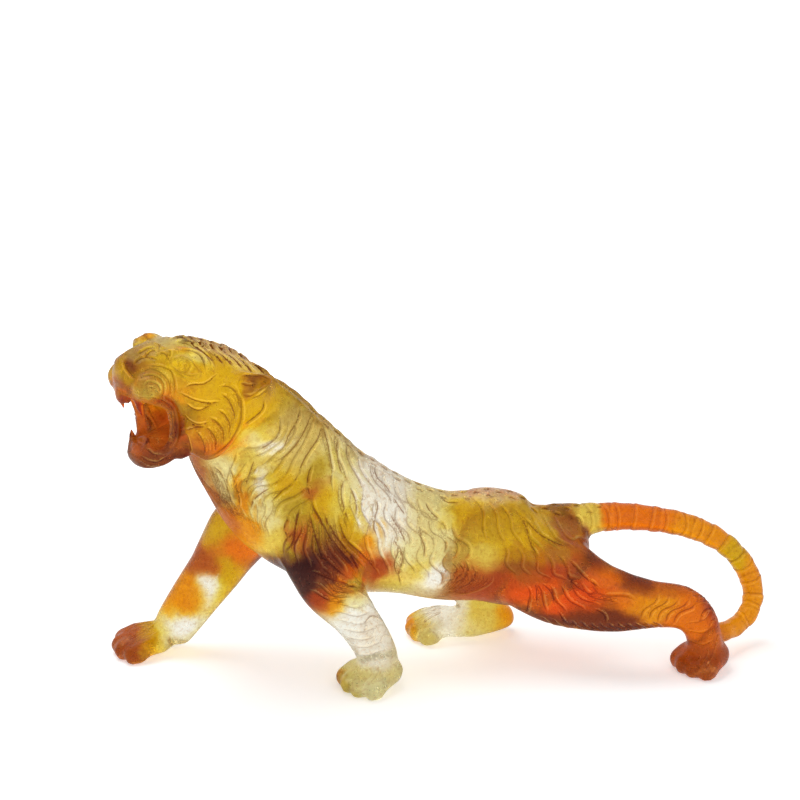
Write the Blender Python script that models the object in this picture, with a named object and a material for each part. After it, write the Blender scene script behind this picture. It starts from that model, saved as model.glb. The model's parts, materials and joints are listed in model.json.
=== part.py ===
"""Tiger figurine of cast glass: a walking, roaring tiger made as one solid casting.

The tiger faces -X with its tail at +X and stands on its four paws at Z = 0. Its left flank is at -Y.
Fleshy masses are lofted through elliptical sections, fused into one skin, hollowed at the mouth and
ears, given teeth, toes, lids and fur locks, carved with long waves of fur, and thinned to an even
mesh with more faces at the head.
"""

import math

import bmesh
import bpy
import numpy as np
from mathutils import Matrix, Vector
from mathutils.bvhtree import BVHTree
from mathutils.kdtree import KDTree

# Trunk and neck
BACK_HEIGHT = 0.115
RUMP_HEIGHT = 0.1055
BELLY_HEIGHT = 0.0425
TRUNK_WIDTH = 0.057
SHOULDER_WIDTH = 0.068
SHOULDER_DEPTH = 0.090
RUMP_WIDTH = 0.061
NECK_WIDTH = 0.061
NECK_DEPTH = 0.082
SHOULDER_X = -0.078
WAIST_X = 0.028
RUMP_X = 0.080

# Where each foot stands, and which way its toes point from straight ahead towards the left
LEFT_FORE_FOOT = (-0.0510, -0.0365)
RIGHT_FORE_FOOT = (-0.1940, 0.0345)
LEFT_HIND_FOOT = (0.1640, -0.0380)
RIGHT_HIND_FOOT = (-0.0005, 0.0365)
LEFT_FORE_TURN = math.radians(34)
RIGHT_FORE_TURN = math.radians(14)
LEFT_HIND_TURN = math.radians(30)
RIGHT_HIND_TURN = math.radians(12)

# Paws and legs
FORE_PAW_LENGTH = 0.0435
FORE_PAW_WIDTH = 0.0385
HIND_PAW_LENGTH = 0.0370
HIND_PAW_WIDTH = 0.0355
PAW_HEIGHT = 0.019
TOE_WIDTH = 0.0115
TOES_PER_PAW = 4
WRIST_THICKNESS = 0.025
UPPER_ARM_DEPTH = 0.050
THIGH_DEPTH = 0.060
HOCK_THICKNESS = 0.027

# Tail
TAIL_ROOT_THICKNESS = 0.021
TAIL_END_THICKNESS = 0.0135
TAIL_REACH = 0.2095
TAIL_RINGS = 17
TAIL_RING_RELIEF = 0.0004

# Head
HEAD_PLACE = (-0.128, 0.0, 0.190)
HEAD_TURN = math.radians(30)
HEAD_WIDTH = 0.067
MUZZLE_LENGTH = 0.0845
MUZZLE_WIDTH = 0.044
FOREHEAD_HEIGHT = 0.0395
JAW_DROP = 0.030
JAW_WIDTH = 0.031
MOUTH_WIDTH = 0.036
CANINE_LENGTH = 0.016
CANINE_THICKNESS = 0.0056
INCISORS = 6
INCISOR_LENGTH = 0.0095
EYE_SPACING = 0.049
EYE_DIAMETER = 0.0112
EAR_LENGTH = 0.0265
EAR_DEPTH = 0.021
CREST_LOCKS = 14
CREST_LOCK_LENGTH = 0.018
CREST_LOCK_WIDTH = 0.0062
CREST_LOCK_RISE = 0.0022

# Carved waves of the coat
WAVE_DEPTH = 0.0010
WAVE_HALF_WIDTH = 0.0021
WAVE_SWAY = 0.0016
WAVE_SWINGS = 1.1
WAVE_LAG = 0.70
CREST_GROOVES = 9
CREST_GROOVE_DEPTH = 0.0016
CREST_GROOVE_STEP = 0.0075

# Surface
SKIN_GRAIN = 0.0014
DETAIL_GRAIN = 0.0010
FACE_BUDGET = 11000
BODY_EASING = 40
FIRST_BUDGET = 14500
SECTION_SIDES = 28
SPAN_STEPS = 5

GLASS_COLOUR = (0.80, 0.50, 0.10, 1.0)
GLASS_ROUGHNESS = 0.35
GLASS_TRANSMISSION = 0.8

ACROSS = Vector((0.0, 1.0, 0.0))


def clear_scene():
    """Takes away every object that the scene starts with."""
    for existing in list(bpy.data.objects):
        bpy.data.objects.remove(existing, do_unlink=True)


def glass():
    """Amber glass, for the whole casting."""
    material = bpy.data.materials.new("amber_glass")
    material.use_nodes = True
    shader = material.node_tree.nodes["Principled BSDF"]
    shader.inputs["Base Color"].default_value = GLASS_COLOUR
    shader.inputs["Roughness"].default_value = GLASS_ROUGHNESS
    shader.inputs["Metallic"].default_value = 0.0
    shader.inputs["Transmission Weight"].default_value = GLASS_TRANSMISSION
    return material


def smooth_path(rows, steps=SPAN_STEPS):
    """Rows of numbers with more rows between them, on a Catmull-Rom curve through each column."""
    rows = np.array(rows, float)
    ends = np.vstack([2 * rows[0] - rows[1], rows, 2 * rows[-1] - rows[-2]])
    dense = []
    for i in range(1, len(ends) - 2):
        a, b, c, d = ends[i - 1], ends[i], ends[i + 1], ends[i + 2]
        for t in np.arange(steps) / steps:
            dense.append(0.5 * (2 * b + (c - a) * t + (2 * a - 5 * b + 4 * c - d) * t**2
                                + (3 * b - a - 3 * c + d) * t**3))
    dense.append(rows[-1])
    return np.array(dense)


def loft(bm, stations, across=ACROSS, steps=SPAN_STEPS, sides=SECTION_SIDES, squareness=2.0):
    """A closed mass through elliptical sections, or through boxier ones with a squareness above 2.

    A station is x, y, z, half width and half depth. The width lies along `across`, and the depth is
    square to it and to the path.
    """
    rows = smooth_path(stations, steps)
    places = [Vector(row[:3]) for row in rows]
    loops = []
    for i, row in enumerate(rows):
        along = places[min(i + 1, len(rows) - 1)] - places[max(i - 1, 0)]
        along.normalize()
        side = (across - along * across.dot(along)).normalized()
        depth = along.cross(side)
        made = bmesh.ops.create_circle(bm, segments=sides, radius=1.0)["verts"]
        for vert in made:
            reach = abs(vert.co.x) ** squareness + abs(vert.co.y) ** squareness
            vert.co /= reach ** (1 / squareness)
        section = Matrix((side * max(row[3], 1e-4), depth * max(row[4], 1e-4), along)).transposed().to_4x4()
        section.translation = places[i]
        bmesh.ops.transform(bm, matrix=section, verts=made)
        loops.append(list({edge for vert in made for edge in vert.link_edges}))
    for first, second in zip(loops, loops[1:]):
        bmesh.ops.bridge_loops(bm, edges=first + second)
    for end in (loops[0], loops[-1]):
        bmesh.ops.contextual_create(bm, geom=end)


def ball(bm, place, radii, turn=0.0):
    """An ellipsoid with half sizes along its own forward, side and up axes, turned about Z."""
    matrix = Matrix.Translation(place) @ Matrix.Rotation(turn, 4, "Z") @ Matrix.Diagonal((*radii, 1.0))
    bmesh.ops.create_uvsphere(bm, u_segments=24, v_segments=16, radius=1.0, matrix=matrix)


def head_point(forward, left, up):
    """A place on the head: forward to the nose, towards the tiger's left, and up, in metres."""
    nose = Vector((-math.cos(HEAD_TURN), -math.sin(HEAD_TURN), 0.0))
    leftwards = Vector((math.sin(HEAD_TURN), -math.cos(HEAD_TURN), 0.0))
    return Vector(HEAD_PLACE) + nose * forward + leftwards * left + Vector((0.0, 0.0, up))


def head_side():
    """The direction across the head."""
    return head_point(0.0, 1.0, 0.0) - head_point(0.0, 0.0, 0.0)


def head_loft(bm, stations, steps=SPAN_STEPS, squareness=2.0):
    """A loft whose stations are forward, left, up, half width and half depth on the head."""
    placed = [(*head_point(f, s, u), wide, deep) for f, s, u, wide, deep in stations]
    loft(bm, placed, head_side(), steps, squareness=squareness)


def trunk(bm):
    """Rump, barrel, shoulders and neck as one loft from the tail end to the skull."""
    half, shoulder, neck = TRUNK_WIDTH / 2, SHOULDER_WIDTH / 2, NECK_WIDTH / 2
    middle = (BACK_HEIGHT + BELLY_HEIGHT) / 2
    girth = (BACK_HEIGHT - BELLY_HEIGHT) / 2
    spine = BACK_HEIGHT
    deep, slim = SHOULDER_DEPTH / 2, NECK_DEPTH / 2
    rump = RUMP_WIDTH / 2
    loft(bm, [
        (RUMP_X + 0.0080, 0, RUMP_HEIGHT - 0.0160, rump * 0.45, 0.0120),
        (RUMP_X, 0, RUMP_HEIGHT - 0.0225, rump * 0.76, 0.0225),
        (RUMP_X - 0.012, 0, RUMP_HEIGHT - 0.0300, rump * 0.94, 0.0310),
        (RUMP_X - 0.030, 0, RUMP_HEIGHT - 0.0330, rump, 0.0365),
        (WAIST_X, 0, middle, half, girth + 0.0020),
        (WAIST_X - 0.026, 0, middle, half, girth),
        (WAIST_X - 0.054, 0, spine - 0.0290, half + 0.002, girth + 0.0010),
        (SHOULDER_X + 0.024, 0, spine - 0.0205, shoulder - 0.001, deep - 0.001),
        (SHOULDER_X, 0, spine - 0.0090, shoulder, deep + 0.0005),
        (SHOULDER_X - 0.0205, 0, spine + 0.0090, shoulder - 0.001, deep + 0.0020),
        (SHOULDER_X - 0.0380, 0, spine + 0.0325, neck, slim + 0.0020),
        (SHOULDER_X - 0.052, -0.002, spine + 0.0535, neck - 0.001, slim - 0.003),
        (SHOULDER_X - 0.061, -0.005, spine + 0.0690, neck - 0.003, slim - 0.011),
    ])


def left_foreleg(bm):
    """The planted foreleg, from the shoulder blade down to the wrist."""
    x, y = LEFT_FORE_FOOT
    arm, wrist = UPPER_ARM_DEPTH / 2, WRIST_THICKNESS / 2
    loft(bm, [
        (SHOULDER_X - 0.012, y + 0.031, 0.142, 0.008, arm * 0.45),
        (SHOULDER_X - 0.011, y + 0.0205, 0.119, 0.0150, arm * 0.80),
        (SHOULDER_X - 0.009, y + 0.0135, 0.099, 0.0165, arm * 0.95),
        (SHOULDER_X - 0.003, y + 0.0085, 0.083, 0.0168, arm * 0.93),
        (x - 0.0240, y + 0.0045, 0.067, 0.0158, arm * 0.80),
        (x - 0.0120, y + 0.0015, 0.050, 0.0142, arm * 0.60),
        (x - 0.0040, y, 0.038, 0.0136, wrist + 0.0013),
        (x + 0.0020, y, 0.026, 0.0130, wrist + 0.0008),
        (x + 0.0045, y, 0.016, 0.0130, wrist + 0.0004),
        (x + 0.0045, y, 0.007, 0.0120, wrist - 0.001),
    ])


def right_foreleg(bm):
    """The foreleg that reaches forward, from the shoulder blade to the wrist."""
    x, y = RIGHT_FORE_FOOT
    arm, wrist = UPPER_ARM_DEPTH / 2, WRIST_THICKNESS / 2
    loft(bm, [
        (SHOULDER_X - 0.014, y - 0.026, 0.126, 0.012, arm * 0.75),
        (SHOULDER_X - 0.026, y - 0.016, 0.108, 0.0160, arm),
        (x + 0.0680, y - 0.008, 0.088, 0.0160, arm * 0.95),
        (x + 0.0565, y - 0.003, 0.071, 0.0153, arm * 0.82),
        (x + 0.0480, y - 0.0015, 0.057, 0.0145, arm * 0.745),
        (x + 0.0380, y, 0.043, 0.0140, wrist + 0.0048),
        (x + 0.0280, y, 0.029, 0.0136, wrist + 0.0036),
        (x + 0.0205, y, 0.018, 0.0136, wrist + 0.0022),
        (x + 0.0165, y, 0.009, 0.0125, wrist),
    ])


def left_hind_leg(bm):
    """The hind leg stretched out behind, from the haunch over the hock to the foot."""
    x, y = LEFT_HIND_FOOT
    thigh, hock = THIGH_DEPTH / 2, HOCK_THICKNESS / 2
    loft(bm, [
        (RUMP_X - 0.066, y + 0.034, 0.084, 0.006, thigh * 0.35),
        (RUMP_X - 0.048, y + 0.0275, 0.080, 0.0125, thigh * 0.70),
        (RUMP_X - 0.029, y + 0.0195, 0.072, 0.0175, thigh * 1.00),
        (RUMP_X - 0.007, y + 0.012, 0.0600, 0.0190, thigh * 0.97),
        (RUMP_X + 0.012, y + 0.0050, 0.0530, 0.0170, thigh * 0.80),
        (x - 0.0550, y + 0.001, 0.0495, 0.0148, hock + 0.0070),
        (x - 0.0345, y, 0.0470, 0.0130, hock + 0.0024),
        (x - 0.0175, y, 0.0448, 0.0124, hock + 0.0012),
        (x - 0.0068, y, 0.0378, 0.0120, hock - 0.0002),
        (x - 0.0008, y, 0.0265, 0.0116, hock - 0.0016),
        (x + 0.0008, y, 0.0150, 0.0118, hock - 0.0020),
        (x + 0.0000, y, 0.0060, 0.0110, hock - 0.0030),
    ])


def right_hind_leg(bm):
    """The hind leg drawn up under the belly: thigh, folded shank, and the long foot along the ground."""
    x, y = RIGHT_HIND_FOOT
    thigh, hock = THIGH_DEPTH / 2, HOCK_THICKNESS / 2
    loft(bm, [
        (RUMP_X - 0.028, y - 0.027, 0.084, 0.014, thigh * 0.70),
        (RUMP_X - 0.036, y - 0.017, 0.072, 0.0165, thigh * 0.85),
        (x + 0.0315, y - 0.010, 0.060, 0.0165, thigh * 0.77),
        (x + 0.0205, y - 0.006, 0.047, 0.0150, thigh * 0.63),
        (x + 0.0245, y - 0.0025, 0.036, 0.0135, hock + 0.0025),
        (x + 0.0325, y, 0.0265, 0.0120, hock),
        (x + 0.0420, y, 0.0170, 0.0105, hock - 0.0030),
    ])
    loft(bm, [
        (x + 0.0545, y, 0.0130, 0.0070, 0.0050),
        (x + 0.0500, y, 0.0120, 0.0095, 0.0085),
        (x + 0.0370, y - 0.001, 0.0105, 0.0115, 0.0100),
        (x + 0.0230, y - 0.003, 0.0100, 0.0135, 0.0102),
        (x + 0.0080, y - 0.001, 0.0100, 0.0150, 0.0098),
    ])


def paw(bm, foot, turn, length, width):
    """A broad paw: a sloping pad and a fan of rounded toes."""
    forward = Vector((-math.cos(turn), -math.sin(turn), 0.0))
    side = Vector((math.sin(turn), -math.cos(turn), 0.0))
    centre = Vector((*foot, 0.0))
    half, reach, tall = width / 2, length / 2, PAW_HEIGHT / 2

    def station(along, up, wide, deep):
        return (*(centre + forward * along + Vector((0.0, 0.0, up))), wide, deep)

    loft(bm, [
        station(-reach * 0.84, tall * 0.90, half * 0.52, tall * 0.66),
        station(-reach * 0.58, tall * 1.00, half * 0.74, tall * 1.00),
        station(-reach * 0.10, tall * 0.98, half * 0.92, tall * 1.04),
        station(reach * 0.36, tall * 0.80, half * 0.95, tall * 0.84),
        station(reach * 0.62, tall * 0.62, half * 0.84, tall * 0.56),
    ], side)
    toe = TOE_WIDTH / 2
    for index in range(TOES_PER_PAW):
        fan = 2 * index / (TOES_PER_PAW - 1) - 1
        toe_turn = turn - fan * math.radians(11)
        spot = centre + side * (-fan * (half - toe)) + forward * (reach * (0.62 - 0.22 * fan**2))
        spot.z = toe * 1.05
        ball(bm, spot, (toe * 1.62, toe * 1.02, toe * 1.34), toe_turn)
        knuckle = spot - forward * reach * 0.30
        knuckle.z = toe * 1.62
        ball(bm, knuckle, (toe * 1.5, toe * 0.92, toe * 1.15), toe_turn)


def tail(bm):
    """The tail: back from the rump, over, down and round to rest on the left hock."""
    x, y = LEFT_HIND_FOOT
    root, end = TAIL_ROOT_THICKNESS / 2, TAIL_END_THICKNESS / 2
    far = TAIL_REACH
    middle = 0.005
    path = smooth_path([
        (RUMP_X - 0.024, 0.000, RUMP_HEIGHT - 0.0135, root * 1.10),
        (RUMP_X - 0.006, 0.001, RUMP_HEIGHT - 0.0135, root * 1.12),
        (RUMP_X + 0.008, 0.003, RUMP_HEIGHT - 0.0140, root * 1.04),
        (RUMP_X + 0.022, middle, RUMP_HEIGHT - 0.0141, root * 0.96),
        (RUMP_X + 0.041, middle, RUMP_HEIGHT - 0.0142, root * 0.88),
        (far - 0.0670, middle, 0.0880, root * 0.82),
        (far - 0.0485, middle, 0.0833, root * 0.79),
        (far - 0.0304, middle, 0.0751, root * 0.75),
        (far - 0.0154, middle, 0.0637, end + 0.0007),
        (far - 0.0050, middle, 0.0495, end + 0.0009),
        (far, 0.0040, 0.0345, end + 0.0005),
        (far - 0.0030, 0.0005, 0.0215, end + 0.0003),
        (far - 0.0140, -0.0080, 0.0155, end),
        (x + 0.0205, y + 0.0210, 0.0160, end),
        (x + 0.0070, y + 0.0110, 0.0180, end - 0.0005),
    ], 12)
    rows = []
    walked = np.concatenate([[0.0], np.cumsum(np.linalg.norm(np.diff(path[:, :3], axis=0), axis=1))])
    for row, share in zip(path, walked / walked[-1]):
        swell = TAIL_RING_RELIEF * math.cos(2 * math.pi * TAIL_RINGS * share)
        radius = row[3] + swell * min(1.0, 6 * share)
        rows.append((*row[:3], radius, radius))
    loft(bm, rows, steps=1, sides=22)


def skull(bm):
    """Skull and muzzle, cheeks, and the lower jaw with its chin."""
    half, muzzle, top = HEAD_WIDTH / 2, MUZZLE_WIDTH / 2, FOREHEAD_HEIGHT
    nose, drop, jaw = MUZZLE_LENGTH, JAW_DROP, JAW_WIDTH / 2
    head_loft(bm, [
        (-0.014, 0, -0.009, half * 0.60, 0.016),
        (-0.006, 0, top - 0.0470, half * 0.80, 0.0215),
        (0.006, 0, top - 0.0450, half * 0.92, 0.0255),
        (0.018, 0, top - 0.0405, half * 0.97, 0.0285),
        (0.030, 0, top - 0.0355, half * 0.98, 0.0295),
        (0.040, 0, top - 0.0285, half * 0.94, 0.0265),
        (0.050, 0, top - 0.0230, muzzle + 0.0070, 0.0230),
        (0.059, 0, top - 0.0210, muzzle + 0.0030, 0.0195),
        (nose - 0.017, 0, top - 0.0185, muzzle - 0.0035, 0.0160),
        (nose - 0.009, 0, top - 0.0170, muzzle - 0.0080, 0.0130),
        (nose - 0.003, 0, top - 0.0160, muzzle - 0.0110, 0.0102),
        (nose, 0, top - 0.0155, muzzle - 0.0150, 0.0060),
    ], squareness=2.7)
    for side in (-1, 1):
        head_loft(bm, [
            (0.031, side * (half - 0.013), 0.022, 0.008, 0.014),
            (0.033, side * (half - 0.0115), 0.008, 0.0120, 0.0185),
            (0.035, side * (half - 0.0105), -0.008, 0.0130, 0.0195),
            (0.038, side * (half - 0.013), -0.020, 0.0120, 0.0165),
            (0.043, side * (half - 0.017), -0.0285, 0.0085, 0.0100),
        ])
    head_loft(bm, [
        (0.018, 0, -0.010, half * 0.75, 0.016),
        (0.034, 0, -0.015, half * 0.72, 0.0125),
        (0.045, 0, -drop + 0.0108, jaw + 0.0060, 0.0068),
        (0.054, 0, -drop + 0.0052, jaw + 0.0025, 0.0068),
        (0.064, 0, -drop + 0.0003, jaw, 0.0072),
        (0.0715, 0, -drop + 0.0015, jaw - 0.0030, 0.0064),
        (0.0765, 0, -drop + 0.0040, jaw - 0.0070, 0.0046),
    ], squareness=2.4)


def mouth_hollow(bm):
    """The inside of the open mouth, from the throat out past the lips."""
    half = MOUTH_WIDTH / 2
    head_loft(bm, [
        (0.033, 0, -0.008, half * 0.40, 0.005),
        (0.042, 0, -0.009, half * 0.72, 0.010),
        (0.052, 0, -0.0085, half * 0.90, 0.0135),
        (0.062, 0, -0.0070, half * 0.98, 0.0155),
        (0.072, 0, -0.0060, half, 0.0165),
        (0.082, 0, -0.0060, half * 1.05, 0.0175),
        (0.098, 0, -0.0060, half * 1.25, 0.0220),
    ])


def ears(bm, hollow):
    """The laid-back ears, or with `hollow` the cups that open them outwards."""
    root = HEAD_WIDTH / 2
    deep = EAR_DEPTH / 2
    for side in (-1, 1):
        if hollow:
            rows = [
                (0.0225, root - 0.0002, 0.0118, 0.0026, deep * 0.45),
                (0.0165, root + 0.0030, 0.0122, 0.0044, deep * 0.68),
                (0.0100, root + 0.0050, 0.0130, 0.0040, deep * 0.42),
                (0.0055, root + 0.0060, 0.0138, 0.0022, deep * 0.20),
            ]
        else:
            rows = [
                (0.030, root - 0.0090, 0.0115, 0.0060, deep * 0.82),
                (0.024, root - 0.0055, 0.0115, 0.0072, deep * 0.98),
                (0.0165, root - 0.0020, 0.0120, 0.0068, deep * 0.88),
                (0.0085, root + 0.0010, 0.0130, 0.0054, deep * 0.56),
                (0.026 - EAR_LENGTH * 0.90, root + 0.0025, 0.0138, 0.0034, deep * 0.32),
                (0.026 - EAR_LENGTH, root + 0.0030, 0.0145, 0.0014, deep * 0.14),
            ]
        head_loft(bm, [(f, side * s, u, wide, tall) for f, s, u, wide, tall in rows])


def face(bm):
    """Brows, eyes with their lids, whisker pads, nose leather, lips and chin."""
    eye = EYE_DIAMETER / 2
    nose, pad, drop = MUZZLE_LENGTH, MUZZLE_WIDTH / 2, JAW_DROP
    for side in (-1, 1):
        s = EYE_SPACING / 2
        ball(bm, head_point(0.0545, side * (s - 0.0010), 0.0295), (eye, eye, eye))
        lids = [
            [(0.0620, s - 0.0042, 0.0310), (0.0580, s + 0.0018, 0.0350),
             (0.0520, s + 0.0032, 0.0335), (0.0460, s + 0.0045, 0.0240)],
            [(0.0620, s - 0.0042, 0.0300), (0.0580, s + 0.0030, 0.0255),
             (0.0525, s + 0.0048, 0.0232), (0.0460, s + 0.0048, 0.0235)],
        ]
        for lid in lids:
            head_loft(bm, [(f, side * across, up, 0.0013, 0.0013) for f, across, up in lid])
        brow = [
            (0.0640, s - 0.0115, 0.0345, 0.0026, 0.0020),
            (0.0590, s - 0.0070, 0.0360, 0.0036, 0.0026),
            (0.0510, s - 0.0040, 0.0365, 0.0040, 0.0028),
            (0.0420, s + 0.0002, 0.0325, 0.0036, 0.0028),
            (0.0365, s + 0.0045, 0.0250, 0.0024, 0.0020),
        ]
        head_loft(bm, [(f, side * across, up, wide, deep) for f, across, up, wide, deep in brow])
        pad_place = head_point(nose - 0.0130, side * (pad - 0.0075), 0.0170)
        ball(bm, pad_place, (0.0112, 0.0098, 0.0096), HEAD_TURN)
        wall = [
            (0.0520, pad - 0.0020, 0.0070, 0.0036, 0.0090),
            (0.0495, pad - 0.0030, -0.0090, 0.0036, 0.0098),
            (0.0520, pad - 0.0050, -drop + 0.0080, 0.0040, 0.0095),
            (0.0560, pad - 0.0080, -drop + 0.0065, 0.0046, 0.0070),
        ]
        head_loft(bm, [(f, side * across, up, wide, deep) for f, across, up, wide, deep in wall])
        lip = [
            (nose - 0.0035, pad - 0.0135, 0.0140, 0.0028, 0.0024),
            (nose - 0.0115, pad - 0.0035, 0.0100, 0.0032, 0.0028),
            (nose - 0.0200, pad + 0.0010, 0.0060, 0.0034, 0.0030),
            (nose - 0.0235, pad + 0.0005, -0.0030, 0.0034, 0.0030),
            (nose - 0.0245, pad - 0.0015, -0.0130, 0.0032, 0.0028),
            (nose - 0.0230, pad - 0.0050, -drop + 0.0080, 0.0030, 0.0028),
            (nose - 0.0160, pad - 0.0090, -drop + 0.0055, 0.0026, 0.0026),
            (nose - 0.0105, pad - 0.0150, -drop + 0.0065, 0.0024, 0.0024),
        ]
        head_loft(bm, [(f, side * across, up, wide, deep) for f, across, up, wide, deep in lip])
    ball(bm, head_point(nose - 0.0045, 0, 0.0255), (0.0056, 0.0092, 0.0082), HEAD_TURN)
    head_loft(bm, [
        (nose - 0.0040, 0, 0.0290, 0.0062, 0.0042),
        (nose - 0.0095, 0, 0.0330, 0.0066, 0.0036),
        (nose - 0.0165, 0, 0.0352, 0.0078, 0.0032),
        (nose - 0.0270, 0, 0.0370, 0.0096, 0.0030),
    ])
    ball(bm, head_point(0.067, 0, -drop - 0.0015), (0.0100, 0.0125, 0.0062), HEAD_TURN)


def tooth(bm, root, tip, thickness):
    """A pointed tooth, straight from its root to its tip."""
    middle = (root + tip) / 2
    loft(bm, [
        (*root, thickness / 2, thickness / 2),
        (*middle, thickness * 0.40, thickness * 0.40),
        (*tip, thickness * 0.10, thickness * 0.10),
    ], head_side(), 4, 14)


def teeth_and_tongue(bm):
    """Upper and lower canines, the rows of incisors between them, and the tongue."""
    nose = MUZZLE_LENGTH
    spread = MOUTH_WIDTH / 2 - 0.0065
    for side in (-1, 1):
        upper = head_point(nose - 0.0055, side * spread, 0.0120)
        tooth(bm, upper, upper + Vector((0.004, 0.001, -CANINE_LENGTH)), CANINE_THICKNESS)
        lower = head_point(0.0710, side * (spread - 0.002), -JAW_DROP + 0.004)
        tooth(bm, lower, lower + Vector((-0.001, 0.0, CANINE_LENGTH * 0.80)), CANINE_THICKNESS)
    for index in range(INCISORS):
        fan = 2 * index / (INCISORS - 1) - 1
        upper = head_point(nose - 0.0005 - 0.0025 * fan**2, fan * (spread - 0.0045), 0.0135)
        tooth(bm, upper, upper + Vector((0, 0, -INCISOR_LENGTH)), CANINE_THICKNESS * 0.7)
        lower = head_point(0.0750 - 0.0020 * fan**2, fan * (spread - 0.0055), -JAW_DROP + 0.005)
        tooth(bm, lower, lower + Vector((0, 0, INCISOR_LENGTH * 0.6)), CANINE_THICKNESS * 0.55)
    head_loft(bm, [
        (0.036, 0, -0.0155, 0.0080, 0.0040),
        (0.047, 0, -0.0190, 0.0100, 0.0042),
        (0.060, 0, -0.0215, 0.0098, 0.0038),
        (0.069, 0, -0.0215, 0.0080, 0.0030),
    ])


def lock(bm, skin, root, tip, across, wide, rise):
    """A flame-shaped lock of fur that lies on the skin from its root to its free, lifted tip."""
    places = []
    for share, lift in ((0.0, -0.3), (0.35, 0.35), (0.7, 0.75), (1.0, 1.0)):
        spot, normal = skin.find_nearest(root.lerp(tip, share))[:2]
        places.append(spot + normal * rise * lift)
    widths = (0.35, 1.0, 0.75, 0.16)
    rows = [(*place, wide / 2 * share, rise * 0.9 * share + 0.0003) for place, share in zip(places, widths)]
    loft(bm, rows, across, 4, 12)


def fur_locks(bm, skin):
    """Locks in three rows down the crest and the nape to the withers."""
    top = FOREHEAD_HEIGHT
    crest = smooth_path([
        head_point(0.050, 0, top),
        head_point(0.034, 0, top),
        head_point(0.016, 0, top - 0.010),
        head_point(-0.002, 0, top - 0.020),
        (SHOULDER_X - 0.026, 0, BACK_HEIGHT + 0.076),
        (SHOULDER_X - 0.004, 0, BACK_HEIGHT + 0.058),
        (SHOULDER_X + 0.020, 0, BACK_HEIGHT + 0.030),
        (SHOULDER_X + 0.046, 0, BACK_HEIGHT + 0.014),
    ], 8)
    last = len(crest) - 1
    for index in range(CREST_LOCKS):
        for row in (-1, 0, 1):
            start = (index + 0.5 * abs(row)) / CREST_LOCKS * 0.90 * last
            root = Vector(crest[int(start)]).lerp(Vector(crest[int(start) + 1]), start % 1)
            run = (Vector(crest[min(int(start) + 4, last)]) - root).normalized()
            outward = ACROSS * row
            root += outward * 0.0070
            tip = root + run * CREST_LOCK_LENGTH + outward * 0.0040
            fade = 1 - 0.5 * index / CREST_LOCKS
            lock(bm, skin, root, tip, ACROSS, CREST_LOCK_WIDTH, CREST_LOCK_RISE * fade)


def new_object(name, build, *parts):
    """An object whose mesh is filled by `build`, with its faces pointing out."""
    bm = bmesh.new()
    build(bm, *parts)
    bmesh.ops.recalc_face_normals(bm, faces=bm.faces)
    mesh = bpy.data.meshes.new(name)
    bm.to_mesh(mesh)
    bm.free()
    made = bpy.data.objects.new(name, mesh)
    bpy.context.scene.collection.objects.link(made)
    return made


def apply_modifiers(obj):
    """Replaces the object's mesh by the one its modifiers make."""
    graph = bpy.context.evaluated_depsgraph_get()
    mesh = bpy.data.meshes.new_from_object(obj.evaluated_get(graph))
    obj.modifiers.clear()
    obj.data = mesh


def fuse(obj, grain, smoothing):
    """Makes one skin of every mass in the object, at a grain in metres, and eases it."""
    skin = obj.modifiers.new("fuse", "REMESH")
    skin.mode = "VOXEL"
    skin.voxel_size = grain
    ease = obj.modifiers.new("ease", "SMOOTH")
    ease.factor = 0.5
    ease.iterations = smoothing
    apply_modifiers(obj)


def add_mesh(obj, other):
    """Moves the other object's mesh into this one."""
    bm = bmesh.new()
    bm.from_mesh(obj.data)
    bm.from_mesh(other.data)
    bm.to_mesh(obj.data)
    bm.free()
    bpy.data.objects.remove(other, do_unlink=True)


def cut_away(obj, cutter):
    """Cuts a hollow and takes the cutter away."""
    cutter.hide_render = True
    cutter.display_type = "WIRE"
    cut = obj.modifiers.new("hollow", "BOOLEAN")
    cut.operation = "DIFFERENCE"
    cut.object = cutter
    apply_modifiers(obj)
    bpy.data.objects.remove(cutter, do_unlink=True)


def body_masses(bm):
    """The trunk and the legs, which run into each other without a step."""
    trunk(bm)
    left_foreleg(bm)
    right_foreleg(bm)
    left_hind_leg(bm)
    right_hind_leg(bm)


def end_masses(bm):
    """What the body carries: paws, tail, skull and ears."""
    paw(bm, LEFT_FORE_FOOT, LEFT_FORE_TURN, FORE_PAW_LENGTH, FORE_PAW_WIDTH)
    paw(bm, RIGHT_FORE_FOOT, RIGHT_FORE_TURN, FORE_PAW_LENGTH, FORE_PAW_WIDTH)
    paw(bm, LEFT_HIND_FOOT, LEFT_HIND_TURN, HIND_PAW_LENGTH, HIND_PAW_WIDTH)
    paw(bm, RIGHT_HIND_FOOT, RIGHT_HIND_TURN, HIND_PAW_LENGTH, HIND_PAW_WIDTH)
    tail(bm)
    skull(bm)
    ears(bm, False)


def details(bm, skin):
    """What is added to the fused masses: face, teeth, tongue and fur locks."""
    face(bm)
    teeth_and_tongue(bm)
    fur_locks(bm, skin)


def skin_of(obj):
    """A tree of the object's faces, for finding the nearest place on its skin."""
    bm = bmesh.new()
    bm.from_mesh(obj.data)
    tree = BVHTree.FromBMesh(bm)
    bm.free()
    return tree


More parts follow.
